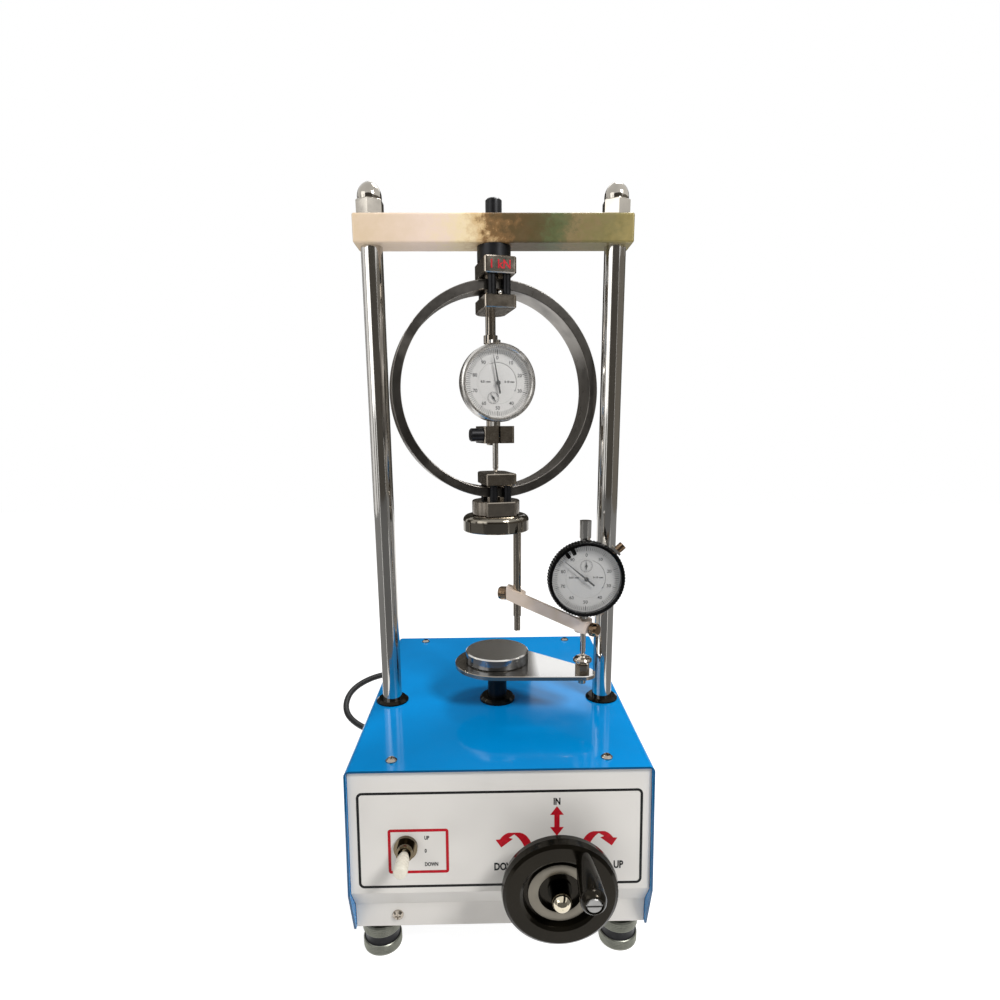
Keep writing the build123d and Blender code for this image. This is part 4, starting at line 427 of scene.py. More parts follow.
def only(piece):
    """Selects one piece alone and makes it active."""
    bpy.ops.object.select_all(action="DESELECT")
    piece.select_set(True)
    bpy.context.view_layer.objects.active = piece


def edit(piece):
    """Opens a piece in edit mode."""
    only(piece)
    bpy.ops.object.mode_set(mode="EDIT")


def done():
    """Closes edit mode."""
    bpy.ops.object.mode_set(mode="OBJECT")


def choose(kind, test):
    """Selects the vertices, edges or faces of the open mesh that pass a test of their middle and normal."""
    piece = bpy.context.object
    bpy.ops.mesh.select_mode(type=kind)
    bpy.ops.mesh.select_all(action="DESELECT")
    mesh = bmesh.from_edit_mesh(piece.data)
    for part in {"VERT": mesh.verts, "EDGE": mesh.edges, "FACE": mesh.faces}[kind]:
        if kind == "VERT":
            middle, normal = part.co, part.normal
        elif kind == "EDGE":
            middle, normal = (part.verts[0].co + part.verts[1].co) / 2, part.verts[0].normal
        else:
            middle, normal = part.calc_center_median(), part.normal
        if test(middle, normal):
            part.select_set(True)
    mesh.select_flush_mode()
    bmesh.update_edit_mesh(piece.data)


def open_new(name):
    """Names the primitive that was just added and opens it in edit mode, all selected."""
    piece = bpy.context.object
    piece.name = piece.data.name = name
    bpy.ops.object.mode_set(mode="EDIT")
    return piece


def sheet(name, width, height):
    """A new flat sheet about the origin, open in edit mode and all selected."""
    bpy.ops.mesh.primitive_plane_add(size=1.0)
    piece = open_new(name)
    bpy.ops.transform.resize(value=(width, height, 1.0))
    return piece


def block(name, size, middle):
    """A new block, its size and middle in millimetres, open in edit mode and all selected."""
    bpy.ops.mesh.primitive_cube_add(size=1.0)
    piece = open_new(name)
    bpy.ops.transform.resize(value=Vector(size) * MM)
    bpy.ops.transform.translate(value=Vector(middle) * MM)
    return piece


def bar(name, size, middle, corner):
    """A small bar with bevelled edges, its sizes and middle in millimetres."""
    piece = block(name, size, middle)
    bpy.ops.mesh.bevel(offset=corner * MM, segments=2)
    done()
    return piece


def chain(name, points):
    """A new chain of points, drawn by extruding one by one, open in edit mode and all selected."""
    bpy.ops.mesh.primitive_plane_add(size=MM)
    piece = open_new(name)
    bpy.ops.mesh.select_mode(type="VERT")
    bpy.ops.mesh.select_all(action="SELECT")
    bpy.ops.mesh.merge(type="CENTER")
    bpy.ops.transform.translate(value=points[0])
    for here, there in zip(points, points[1:]):
        bpy.ops.mesh.extrude_region_move(TRANSFORM_OT_translate={"value": Vector(there) - Vector(here)})
    bpy.ops.mesh.select_all(action="SELECT")
    return piece


def close_turns():
    """Merges the points that a whole turn leaves doubled in the open mesh."""
    bpy.ops.mesh.select_all(action="SELECT")
    bpy.ops.mesh.remove_doubles(threshold=1e-6)


def lathe(name, profile, steps=96):
    """A turned piece: its outline of radius and height in millimetres, spun round the upright axis."""
    piece = chain(name, [(radius * MM, 0.0, height * MM) for radius, height in profile])
    bpy.ops.mesh.spin(steps=steps, angle=2 * pi, center=(0, 0, 0), axis=(0, 0, 1))
    close_turns()
    bpy.ops.mesh.normals_make_consistent(inside=False)
    done()
    return piece


def knurl(piece, depth, test):
    """Raises a point on each face that passes a test."""
    edit(piece)
    choose("FACE", test)
    bpy.ops.mesh.poke(offset=depth)
    done()


def place(piece, matrix):
    """Puts a piece at its place and keeps the place in its mesh."""
    only(piece)
    piece.matrix_world = matrix
    bpy.ops.object.transform_apply(location=True, rotation=True, scale=True)
    return piece


def dress(piece, finish, body, smooth=None):
    """Gives a piece its finish, unless it has its own already and the body it rides on."""
    if finish:
        piece.data.materials.clear()
        piece.data.materials.append(made(finish))
    if smooth is not None:
        only(piece)
        bpy.ops.object.shade_smooth_by_angle(angle=radians(smooth))
    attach(piece, body)
    return piece


def two_finishes(piece, most, rest, test):
    """Gives a piece one finish, and the faces that pass a test another."""
    piece.data.materials.clear()
    piece.data.materials.append(made(most))
    piece.data.materials.append(made(rest))
    edit(piece)
    choose("FACE", test)
    piece.active_material_index = 1
    bpy.ops.object.material_slot_assign()
    done()


def merge(name, pieces):
    """Joins pieces into one."""
    bpy.ops.object.select_all(action="DESELECT")
    for piece in pieces:
        piece.select_set(True)
    bpy.context.view_layer.objects.active = pieces[0]
    if len(pieces) > 1:
        bpy.ops.object.join()
    pieces[0].name = pieces[0].data.name = name
    return pieces[0]


def lettering(name, words, thickness, weight=0.03, narrow=1.0):
    """Words as one mesh: text, height, place across and up in metres, and 1 to start there or 0 to centre."""
    letters = []
    for text, height, across, up, start in words:
        bpy.ops.object.text_add(location=(0.0, 0.0, 0.0))
        word = bpy.context.object
        word.data.body = text
        word.data.size = height * 1.35
        word.data.extrude = thickness / 2
        word.data.offset = weight * height
        word.data.resolution_u = 3
        only(word)
        bpy.ops.object.convert(target="MESH")
        word = bpy.context.object
        low, high = Vector(word.bound_box[0]), Vector(word.bound_box[6])
        middle = (low + high) / 2
        word.scale.x = narrow
        word.location = (across - narrow * (low.x if start else middle.x), up - middle.y, 0.0)
        letters.append(word)
    piece = merge(name, letters)
    piece.location.z += thickness / 2
    only(piece)
    bpy.ops.object.transform_apply(location=True, rotation=True, scale=True)
    return piece


def thicken(thickness):
    """Pulls the open flat mesh up to its thickness, as a closed plate, and closes edit mode."""
    bpy.ops.mesh.select_mode(type="FACE")
    bpy.ops.mesh.select_all(action="SELECT")
    bpy.ops.mesh.extrude_region_move(TRANSFORM_OT_translate={"value": (0, 0, thickness)})
    bpy.ops.mesh.select_all(action="SELECT")
    bpy.ops.mesh.normals_make_consistent(inside=False)
    done()


def plate(name, outline, thickness):
    """A flat plate with an outline in millimetres."""
    piece = chain(name, [(x * MM, y * MM, 0.0) for x, y in outline])
    bpy.ops.mesh.edge_face_add()
    thicken(thickness)
    return piece


def line_frame(name, width, height, corner, line, thickness):
    """A printed rounded frame: a plate with bevelled corners whose middle is cut out."""
    piece = sheet(name, width, height)
    bpy.ops.mesh.bevel(affect="VERTICES", offset=corner, segments=8)
    bpy.ops.mesh.select_mode(type="FACE")
    bpy.ops.mesh.select_all(action="SELECT")
    bpy.ops.mesh.inset(thickness=line)
    bpy.ops.mesh.delete(type="FACE")
    thicken(thickness)
    return piece


def arrow_head(tip, spread):
    """Grows an arrow head from the selected edge of the open mesh, out to its tip."""
    mesh = bmesh.from_edit_mesh(bpy.context.object.data)
    ends = [v.co.copy() for v in mesh.verts if v.select]
    middle = sum(ends, Vector()) / len(ends)
    bpy.ops.mesh.extrude_region_move(TRANSFORM_OT_translate={"value": (0, 0, 0)})
    bpy.ops.transform.resize(value=(spread, spread, 1.0), center_override=middle)
    bpy.ops.mesh.extrude_region_move(TRANSFORM_OT_translate={"value": Vector(tip) - middle})
    bpy.ops.mesh.merge(type="CENTER")


def straight_arrow(name, width, reach, head, spread, thickness):
    """A double arrow, upright, with its middle at the origin."""
    shaft = reach - head
    piece = sheet(name, width, 2 * shaft)
    for side in (1, -1):
        choose("EDGE", lambda middle, normal: abs(middle.y - side * shaft) < 1e-6)
        arrow_head((0, side * reach, 0), spread)
    thicken(thickness)
    return piece


def arc(name, radius, width, start, sweep, steps):
    """A flat band round an arc about the origin, from its start angle through its sweep, open in edit mode."""
    way = Vector((cos(start), sin(start), 0))
    piece = chain(name, [way * (radius - width / 2), way * (radius + width / 2)])
    bpy.ops.mesh.spin(steps=steps, angle=-sweep, center=(0, 0, 0), axis=(0, 0, 1))
    return piece


def curved_arrow(name, radius, width, start, sweep, head, spread, thickness):
    """An arrow round an arc about the origin, from its tail angle through its sweep."""
    piece = arc(name, radius, width, start, sweep, 24)
    end = start + sweep
    out = Vector((cos(end), sin(end), 0))
    ahead = Vector((-sin(end), cos(end), 0)) * (1 if sweep > 0 else -1)
    choose("EDGE", lambda middle, normal: (middle - out * radius).length < width / 8)
    arrow_head(out * radius * 0.97 + ahead * head, spread)
    thicken(thickness)
    return piece


def circle_line(name, radius, width, thickness):
    """A thin printed circle."""
    piece = arc(name, radius, width, 0.0, 2 * pi, 64)
    close_turns()
    thicken(thickness)
    return piece


def bend(start, pull, end, steps=8):
    """Points along a quadratic curve from start to end, drawn towards the pull point."""
    shares = [i / steps for i in range(steps + 1)]
    return [tuple((1 - t) ** 2 * a + 2 * t * (1 - t) * b + t ** 2 * c for a, b, c in zip(start, pull, end))
            for t in shares]


def ribbon_arrow(name, side, thickness):
    """A broad arrow that rises in a curve and turns down to its head, to the right for side 1, left for -1."""
    tail = bend((-13.0, -3.0), (-10.5, 8.6), (-3.6, 10.0))
    neck = bend((4.3, 10.0), (7.9, 9.0), (10.4, 5.2))
    head = [(13.4, 5.0), (9.5, -0.8), (1.4, 5.4), (4.1, 6.3)]
    under = bend((0.3, 8.7), (-5.0, 5.0), (-8.0, -4.0))
    return plate(name, [(side * x, y) for x, y in tail + neck + head + under], thickness)


def ring_marks(name, count, inner, outer, width, thickness):
    """Scale marks: one plate between two radii, copied round the circle."""
    piece = sheet(name, width, outer - inner)
    bpy.ops.transform.translate(value=(0, (inner + outer) / 2, 0))
    thicken(thickness)
    edit(piece)
    bpy.ops.mesh.spin(steps=count - 1, dupli=True, angle=2 * pi * (count - 1) / count, center=(0, 0, 0),
                      axis=(0, 0, 1))
    done()
    return piece


def shifted(piece, across, up):
    """Moves a flat piece in its own plane."""
    return place(piece, Matrix.Translation((across, up, 0)))


def facing(origin, right, out):
    """Matrix of a plane: origin in millimetres, its right hand and its outward direction."""
    right, out = Vector(right).normalized(), Vector(out).normalized()
    up = out.cross(right)
    turn = Matrix((right, up, out)).transposed().to_4x4()
    return Matrix.Translation(Vector(origin) * MM) @ turn


def above(matrix, height):
    """The same plane, raised by some millimetres."""
    return matrix @ Matrix.Translation((0, 0, height * MM))


def box_of(node):
    """Lowest corner, highest corner and middle of a CAD node, in millimetres."""
    low, high = [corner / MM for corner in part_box(node)]
    return low, high, (low + high) / 2


# Places in the frame, in millimetres

UP = Vector((0, 0, 1))
CASE_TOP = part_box("case_cover")[1].z / MM
CASE_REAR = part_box("rear_panel")[1].y / MM
PANEL_RUN, PANEL_RISE = 9.0, 91.0
PANEL_LEAN = atan2(PANEL_RUN, PANEL_RISE)
PANEL_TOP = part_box("front_panel")[0].y / MM + PANEL_RUN
PANEL = facing((0, PANEL_TOP, CASE_TOP), (1, 0, 0), (0, -cos(PANEL_LEAN), sin(PANEL_LEAN)))
SWITCH_DROP, LEVER_PIVOT, LEVER_BALL, SLEEVE_FOOT = 56.96, 3.55, 4.4, 5.9
DIAL_FACE, INNER_FACE, HAND_HEIGHT = 8.5, 0.05, 9.1
RIM_LOW, RIM_MIDDLE = box_of("strain_dial_bezel")[::2]
RIM_REACH, RIM_NOTCHES, NOTCH_SHARE = 15.3, 76, 0.978
STRAIN_DIAL = facing((RIM_MIDDLE.x, RIM_LOW.y + RIM_REACH, RIM_MIDDLE.z), (1, 0, 0), (0, -1, 0))
RING_YAW = radians(13.0)
RING_RIGHT = Vector((cos(RING_YAW), sin(RING_YAW), 0))
RING_FRONT = Vector((sin(RING_YAW), -cos(RING_YAW), 0))
LOAD_AXIS = Vector((0, box_of("lower_platen")[2].y, 0))
FORCE_DIAL = facing(LOAD_AXIS + UP * box_of("force_dial_bezel")[2].z, RING_RIGHT, RING_FRONT)
WHEEL_LOW, WHEEL_MIDDLE = box_of("handwheel")[::2]
WHEEL = facing((WHEEL_MIDDLE.x, WHEEL_LOW.y, WHEEL_MIDDLE.z), (1, 0, 0), (0, -1, 0))


# Stage, in metres

# Pitch, yaw and roll of the camera
CAMERA_TURN = radians(12.19), radians(1.038), radians(0.377)
CAMERA_SPOT = Vector((-5.85, -477.36, 384.24)) * MM
WORLD_LIGHT, FLOOR_GLOW, GLOW_SHARE = 0.22, 1.8, 0.5
LAMP_AIM = Vector((0, 0, 0.25))
# Each lamp is its place, size and share of the key lamp's power
LAMPS = (
    ("key_lamp", (0.75, -0.85, 1.25), 0.35, 1.0),
    ("fill_lamp", (-1.0, -0.75, 0.8), 0.8, 0.2),
    ("top_lamp", (0.3, 0.45, 1.5), 0.4, 0.45),
    ("back_lamp", (0.2, 1.2, 1.3), 0.9, 0.2),
)
# Dim cards round the set, seen only in reflections, stand for the room that polished metal mirrors. Each is its
# bearing, distance, middle height, bearing either side, height, brightness and tint.
WARM, PLAIN = (1.0, 0.92, 0.8, 1.0), (1.0, 1.0, 1.0, 1.0)
CARDS = (
    ("card_back", 90, 1.1, 0.7, 48, 1.1, 0.06, WARM),
    ("card_front", -86, 1.6, 0.6, 36, 1.35, 0.09, WARM),
    ("card_front_left", -136, 1.6, 0.45, 5, 1.0, 0.1, WARM),
    ("card_left", -162, 1.6, 0.45, 4, 1.0, 0.12, WARM),
    ("card_rear_left", 155, 1.6, 0.45, 6, 1.0, 0.12, WARM),
    ("card_right", -8, 1.5, 0.45, 40, 1.0, 0.2, WARM),
    ("card_rear_right", 36, 1.5, 0.45, 8, 1.0, 0.14, WARM),
    ("card_bright", 79, 1.06, 0.61, 5.5, 0.12, 1.0, PLAIN),
    ("card_low_left", 180, 0.36, 0.14, 44, 0.28, 0.28, PLAIN),
    ("card_low_right", 0, 0.36, 0.14, 44, 0.28, 0.28, PLAIN),
    ("card_low_front", -90, 0.4, 0.14, 42, 0.28, 0.16, PLAIN),
)


def shown_rays(tree):
    """Socket that is one for the rays that show the background: straight, mirrored or through glass."""
    ray = add_node(tree, "LightPath").outputs
    shown = ray["Is Camera Ray"]
    for kind in ("Is Glossy Ray", "Is Transmission Ray"):
        shown = add_node(tree, "Math", links={0: shown, 1: ray[kind]}, operation="MAXIMUM").outputs[0]
    return shown


class TESTER_OT_stage(Operator):
    """Camera at the photograph's angle, floor, world, lamps and reflected cards"""
    bl_idname = "tester.stage"
    bl_label = "Stage"

    def execute(self, context):
        scene = context.scene
        pitch, yaw, roll = CAMERA_TURN
        ahead = Vector((sin(yaw) * cos(pitch), cos(yaw) * cos(pitch), -sin(pitch)))
        level = Vector((cos(yaw), -sin(yaw), 0))
        right = cos(roll) * level + sin(roll) * ahead.cross(level)
        down = ahead.cross(right)
        lens = bpy.data.cameras.new("camera")
        lens.sensor_width = 36.0
        lens.lens = 21.99
        lens.shift_y = 0.06
        lens.clip_start = 0.01
        camera = bpy.data.objects.new("camera", lens)
        scene.collection.objects.link(camera)
        turn = Matrix((right, -down, -ahead)).transposed().to_4x4()
        camera.matrix_world = Matrix.Translation(CAMERA_SPOT) @ turn
        scene.camera = camera
        scene.view_settings.view_transform = "Standard"

        world = bpy.data.worlds.new("studio")
        scene.world = world
        world.use_nodes = True
        tree = world.node_tree
        sky = tree.nodes["Background"].inputs
        sky["Color"].default_value = PLAIN
        add_node(tree, "MapRange", {"To Min": WORLD_LIGHT, "To Max": 1.0}, {"Value": shown_rays(tree)},
                 feeds=sky["Strength"])

        bpy.ops.mesh.primitive_plane_add(size=5.0, location=(0, 0, -0.0002))
        floor = context.object
        floor.name = "floor"
        # Matt white paper: pale, keeps the shadow under the feet
        tree, shader, spot = begin("white paper", (0.86, 0.86, 0.86), Roughness=0.9)
        glow = add_node(tree, "Emission", {"Color": PLAIN, "Strength": FLOOR_GLOW})
        share = add_node(tree, "Math", {1: GLOW_SHARE}, {0: shown_rays(tree)}, operation="MULTIPLY")
        add_node(tree, "MixShader", links={0: share.outputs[0], 1: shader.outputs[0], 2: glow.outputs[0]},
                 feeds=tree.nodes["Material Output"].inputs["Surface"])
        floor.data.materials.append(made("white paper"))

        for name, spot, size, share in LAMPS:
            lamp = bpy.data.lights.new(name, "AREA")
            lamp.energy = share * sizes().key_power
            lamp.size = size
            stand = bpy.data.objects.new(name, lamp)
            scene.collection.objects.link(stand)
            aim = LAMP_AIM - Vector(spot)
            stand.matrix_world = Matrix.Translation(spot) @ aim.to_track_quat("-Z", "Y").to_matrix().to_4x4()

        for name, bearing, away, height, spread, tall, level, tint in CARDS:
            turn = radians(bearing)
            spot = Vector((away * cos(turn), away * sin(turn), height))
            wide = 2 * away * tan(radians(spread))
            card = bpy.data.materials.new(name)
            card.use_nodes = True
            add_node(card.node_tree, "Emission", {"Color": tint, "Strength": level},
                     feeds=card.node_tree.nodes["Material Output"].inputs["Surface"])
            bpy.ops.mesh.primitive_plane_add(size=1.0, location=(0, 0, 0))
            flag = context.object
            flag.name = name
            flag.matrix_world = (Matrix.Translation(spot) @ Matrix.Rotation(turn - pi / 2, 4, "Z")
                                 @ Matrix.Rotation(pi / 2, 4, "X")
                                 @ Matrix.Diagonal((wide, tall, 1.0, 1.0)))
            flag.data.materials.append(card)
            flag.visible_camera = False
            flag.visible_diffuse = False
            flag.visible_shadow = False
            flag.visible_transmission = False
        return {"FINISHED"}


class TESTER_OT_finishes(Operator):
    """Materials of every CAD node"""
    bl_idname = "tester.finishes"
    bl_label = "Finishes"

    def execute(self, context):
        for build in (plain_finishes, gloss_enamel, chrome_plate, smoked_nickel, plate_chrome, lapped_chrome,
                      ground_steel, yellow_passivate):
            build()
        for part in frame["record"]["subparts"]:
            finish = NODE_FINISHES.get(part["node"], FINISHES[part["material_slot"]])
            for holder in frame["nodes"][part["node"]].material_slots:
                holder.material = made(finish)
        return {"FINISHED"}


PLUG_WIDE, PLUG_DEEP, PLUG_LONG, PLUG_MIDDLE = 30.0, 22.0, 24.0, 27.0
PIN_THICK, PIN_WIDE, PIN_LONG, PIN_MIDDLE = 1.6, 6.4, 18.4, 48.8


class TESTER_OT_plug(Operator):
    """Moulded plug of the lead: body with finger ribs, ribbed neck and three flat brass pins"""
    bl_idname = "tester.plug"
    bl_label = "Mains plug"

    def execute(self, context):
        high, middle = box_of("mains_plug")[1:]
        body = block("plug_body", (PLUG_WIDE, PLUG_DEEP, PLUG_LONG), (0, 0, PLUG_MIDDLE))
        choose("EDGE", lambda spot, normal: abs(spot.x) > (PLUG_WIDE / 2 - 0.1) * MM
               and abs(spot.y) > (PLUG_DEEP / 2 - 0.1) * MM)
        bpy.ops.mesh.bevel(offset=6.6 * MM, segments=6)
        choose("FACE", lambda spot, normal: normal.z > 0.99)
        bpy.ops.mesh.inset(thickness=1.0 * MM, depth=1.0 * MM)
        choose("FACE", lambda spot, normal: normal.z < -0.99)
        bpy.ops.mesh.inset(thickness=3.0 * MM, depth=3.0 * MM)
        done()
        ribs = [(4.9 + 0.05 * z + (0.5 if grown else 0.0), z + step) for z in range(1, 11, 2)
                for step, grown in ((0.0, False), (0.0, True), (1.2, True), (1.2, False))]
        neck = lathe("plug_neck", [(0.0, 0.0), (4.9, 0.0), *ribs, (6.3, 12.2), (0.0, 12.2)], 48)
        grips = [bar("plug_grip", (0.9, 12.0, 1.4), (side * PLUG_WIDE / 2, 0.0, 18.5 + 3.2 * i), 0.3)
                 for side in (-1, 1) for i in range(6)]
        upright, flat = (PIN_THICK, PIN_WIDE, PIN_LONG), (PIN_WIDE, PIN_THICK, PIN_LONG)
        pins = [bar("plug_pin", size, (across, up, PIN_MIDDLE), 0.35) for size, across, up in (
            (upright, -7.0, -2.0), (upright, 7.0, -2.0), (flat, 0.0, 4.5),
        )]
        for piece in [body, neck] + grips:
            piece.data.materials.append(made("moulded pvc"))
        for pin in pins:
            pin.data.materials.append(made("turned brass"))
        plug = merge("plug", [body, neck] + grips + pins)
        place(plug, facing((high.x, middle.y, middle.z), (0, -1, 0), (-1, 0, 0)))
        dress(plug, None, "load_frame", 35)
        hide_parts("mains_plug")
        return {"FINISHED"}


# Route of the mains lead in millimetres, from the rear panel: across, behind the panel, up
LEAD_RUN = [
    (-71.9, 27.0, 88.0), (-71.9, 61.0, 88.0), (-95.0, 84.0, 84.0), (-127.0, 87.0, 80.0), (-158.7, 79.3, 76.1),
    (-180.9, 59.2, 66.7), (-180.9, 30.8, 53.3), (-158.7, 10.7, 43.9), (-128.0, 11.5, 33.0), (-96.0, 17.0, 20.0),
    (-62.0, 25.0, 9.0), (-26.0, 32.0, 4.4), (6.0, 35.0, 3.6), (33.0, 35.0, 3.6),
]
COIL_X, COIL_Y = 40.0, 79.5
COIL_OUTER, COIL_PITCH, COIL_TURNS, COIL_TUCK = 44.5, 7.6, 2.5, 1.8
COIL_STEPS = 16
LEAD_REST, LEAD_TAIL = 3.6, 48.0


def coil_points():
    """Control points of the coil: in on the floor, up one layer, and out again."""
    inward = 2 * pi * COIL_TURNS
    inner = COIL_OUTER - COIL_TURNS * COIL_PITCH
    step = 2 * pi / COIL_STEPS
    whole = 2 * inward + pi
    points = []
    for i in range(1, round(whole / step)):
        angle = i * step
        share = min(max((angle - inward) / pi, 0.0), 1.0)
        turned = angle if angle <= inward else max(inward, angle - pi)
        radius = inner + COIL_PITCH * abs(turned - inward) / (2 * pi) - COIL_TUCK * sin(pi * share)
        rise = COIL_PITCH * share ** 2 * (3 - 2 * share)
        radius /= cos(step / 2)
        points.append((COIL_X + radius * sin(angle), COIL_Y - radius * cos(angle), LEAD_REST + rise))
    top = LEAD_REST + COIL_PITCH
    end = COIL_Y + COIL_OUTER
    return points + [(COIL_X - 8.0, end, top), (COIL_X - LEAD_TAIL, end, top)]


class TESTER_OT_lead(Operator):
    """Mains lead: one smooth line from the gland round its loop and into the tied coil"""
    bl_idname = "tester.lead"
    bl_label = "Mains lead"

    def execute(self, context):
        route = [Vector((x, CASE_REAR + y, z)) * MM for x, y, z in LEAD_RUN + coil_points()]
        line = bpy.data.curves.new("mains_lead", "CURVE")
        line.dimensions = "3D"
        spline = line.splines.new("NURBS")
        spline.points.add(len(route) - 1)
        for point, spot in zip(spline.points, route):
            point.co = (*spot, 1.0)
        spline.order_u = 3
        spline.use_endpoint_u = True
        spline.resolution_u = 8
        line.bevel_depth = sizes().cord_diameter / 2
        line.bevel_resolution = 5
        line.use_fill_caps = True
        lead = bpy.data.objects.new("mains_lead", line)
        context.scene.collection.objects.link(lead)
        line.materials.append(made("pvc sheath"))
        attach(lead, "load_frame")
        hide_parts("mains_cord", "cord_coil")

        # Cable tie: a flat band drawn round the two layers at the left of the coil, with its lock outside
        left = (COIL_X - 31.3, CASE_REAR + COIL_Y - 1.6, 7.5)
        band = line_frame("coil_tie", 24.4 * MM, 14.8 * MM, 3.8 * MM, 0.7 * MM, 3.2 * MM)
        edit(band)
        choose("FACE", lambda middle, normal: normal.x > 0.99 and middle.x > 12 * MM)
        bpy.ops.mesh.inset(thickness=0.3 * MM, depth=0.0)
        bpy.ops.mesh.extrude_region_move(TRANSFORM_OT_translate={"value": (1.8 * MM, 0, 0)})
        bpy.ops.mesh.inset(thickness=0.5 * MM, depth=-0.5 * MM)
        done()
        place(band, facing(left, (-1, 0, 0), (0, 1, 0)))
        dress(band, "moulded pvc", "load_frame", 40)
        return {"FINISHED"}


class TESTER_OT_panel_print(Operator):
    """Screen print of the front panel: border, switch frame, arrows and words"""
    bl_idname = "tester.panel_print"
    bl_label = "Panel print"

    def execute(self, context):
        size = sizes()
        ink = size.ink
        # Middle of the pull arrow, then start of the switch words
        pull_across, switch_across = 39.5, -53.0
        border = line_frame("panel_border", 199 * MM, 70.5 * MM, 4 * MM, size.border_line, ink)
        words = lettering("panel_words", [
            (text, height, across * MM, up * MM, start) for text, height, across, up, start in (
                ("UP", size.switch_text, switch_across, -50.6, 1),
                ("0", size.switch_text, switch_across, -60.2, 1),
                ("DOWN", size.switch_text, switch_across, -70.2, 1),
                ("IN", size.pull_text, pull_across, -25.5, 0),
                ("OUT", size.pull_text, pull_across, -54.0, 0),
                ("DOWN", size.wheel_text, -4.5, -73.0, 1),
                ("UP", size.wheel_text, 79.5, -73.0, 1),
            )
        ], ink, 0.05, 0.74)
        black = merge("panel_print_black", [shifted(border, 0, -52.2 * MM), words])
        switch = line_frame("switch_frame", 42.3 * MM, 32.7 * MM, 2 * MM, size.switch_line, ink)
        pull = straight_arrow("pull_arrow", 3.7 * MM, 10.9 * MM, 6.4 * MM, 2.6, ink)
        left, right = ribbon_arrow("left_arrow", -1, ink), ribbon_arrow("right_arrow", 1, ink)
        red = merge("panel_print_red", [
            shifted(piece, across * MM, up * MM) for piece, across, up in (
                (switch, -57.3, -60.4), (pull, pull_across, -39.9), (left, 10.0, -58.0), (right, 68.5, -58.0),
            )
        ])
        for piece, finish in ((black, "black screen ink"), (red, "red screen ink")):
            place(piece, PANEL)
            dress(piece, finish, "load_frame")
        return {"FINISHED"}


class TESTER_OT_switch_lever(Operator):
    """Lever of the switch: bronzed ball and neck in the bush, and a smooth ivory sleeve that widens outwards"""
    bl_idname = "tester.switch_lever"
    bl_label = "Switch lever"

    def execute(self, context):
        ball = [(LEVER_BALL * cos(radians(a)), LEVER_BALL * sin(radians(a))) for a in range(-80, 61, 10)]
        lever = lathe("lever", [
            (0.0, -LEVER_BALL), *ball, (1.75, 4.1), (1.75, SLEEVE_FOOT), (2.7, 6.45), (3.2, 7.0), (3.75, 9.2),
            (4.15, 11.2), (4.5, 14.2), (4.72, 18.0), (4.8, 22.0), (4.8, 24.4), (4.6, 25.7), (4.15, 26.5),
            (3.4, 27.0), (0.0, 27.0),
        ], 64)
        two_finishes(lever, "ivory plastic", "bronzed nickel",
                     lambda middle, normal: middle.z < SLEEVE_FOOT * MM)
        across = box_of("toggle_switch")[2].x
        place(lever, PANEL @ Matrix.Translation(Vector((across, -SWITCH_DROP, LEVER_PIVOT)) * MM))
        dress(lever, None, "switch_lever", 50)
        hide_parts("toggle_lever")
        return {"FINISHED"}


# Each dial: plane, bodies of rim and case, lacquer, radii of scale and numbers, place, radius and turn of the
# small hand, and the arc from its tail through its sweep
DIALS = (
    ("strain", STRAIN_DIAL, "strain_rim", "arm", "aged dial lacquer", 25.4, 18.6, (0.0, 10.0), 4.7, 0.0,
     (72, -100)),
    ("force", FORCE_DIAL, "force_rim", "load_frame", "dial face lacquer", 24.4, 18.4, (-3.5, -11.0), 4.4, 33.0,
     (112, -132)),
)
# Marks of a scale: divisions to each, length and width
MARKS = (("_fine", 1, 3.2, 0.3), ("_middle", 5, 3.4, 0.36), ("_coarse", 10, 3.7, 0.5))
INNER_RADIUS, LEGEND_ACROSS, SWEEP_RADIUS = 15.45, 9.3, 14.9


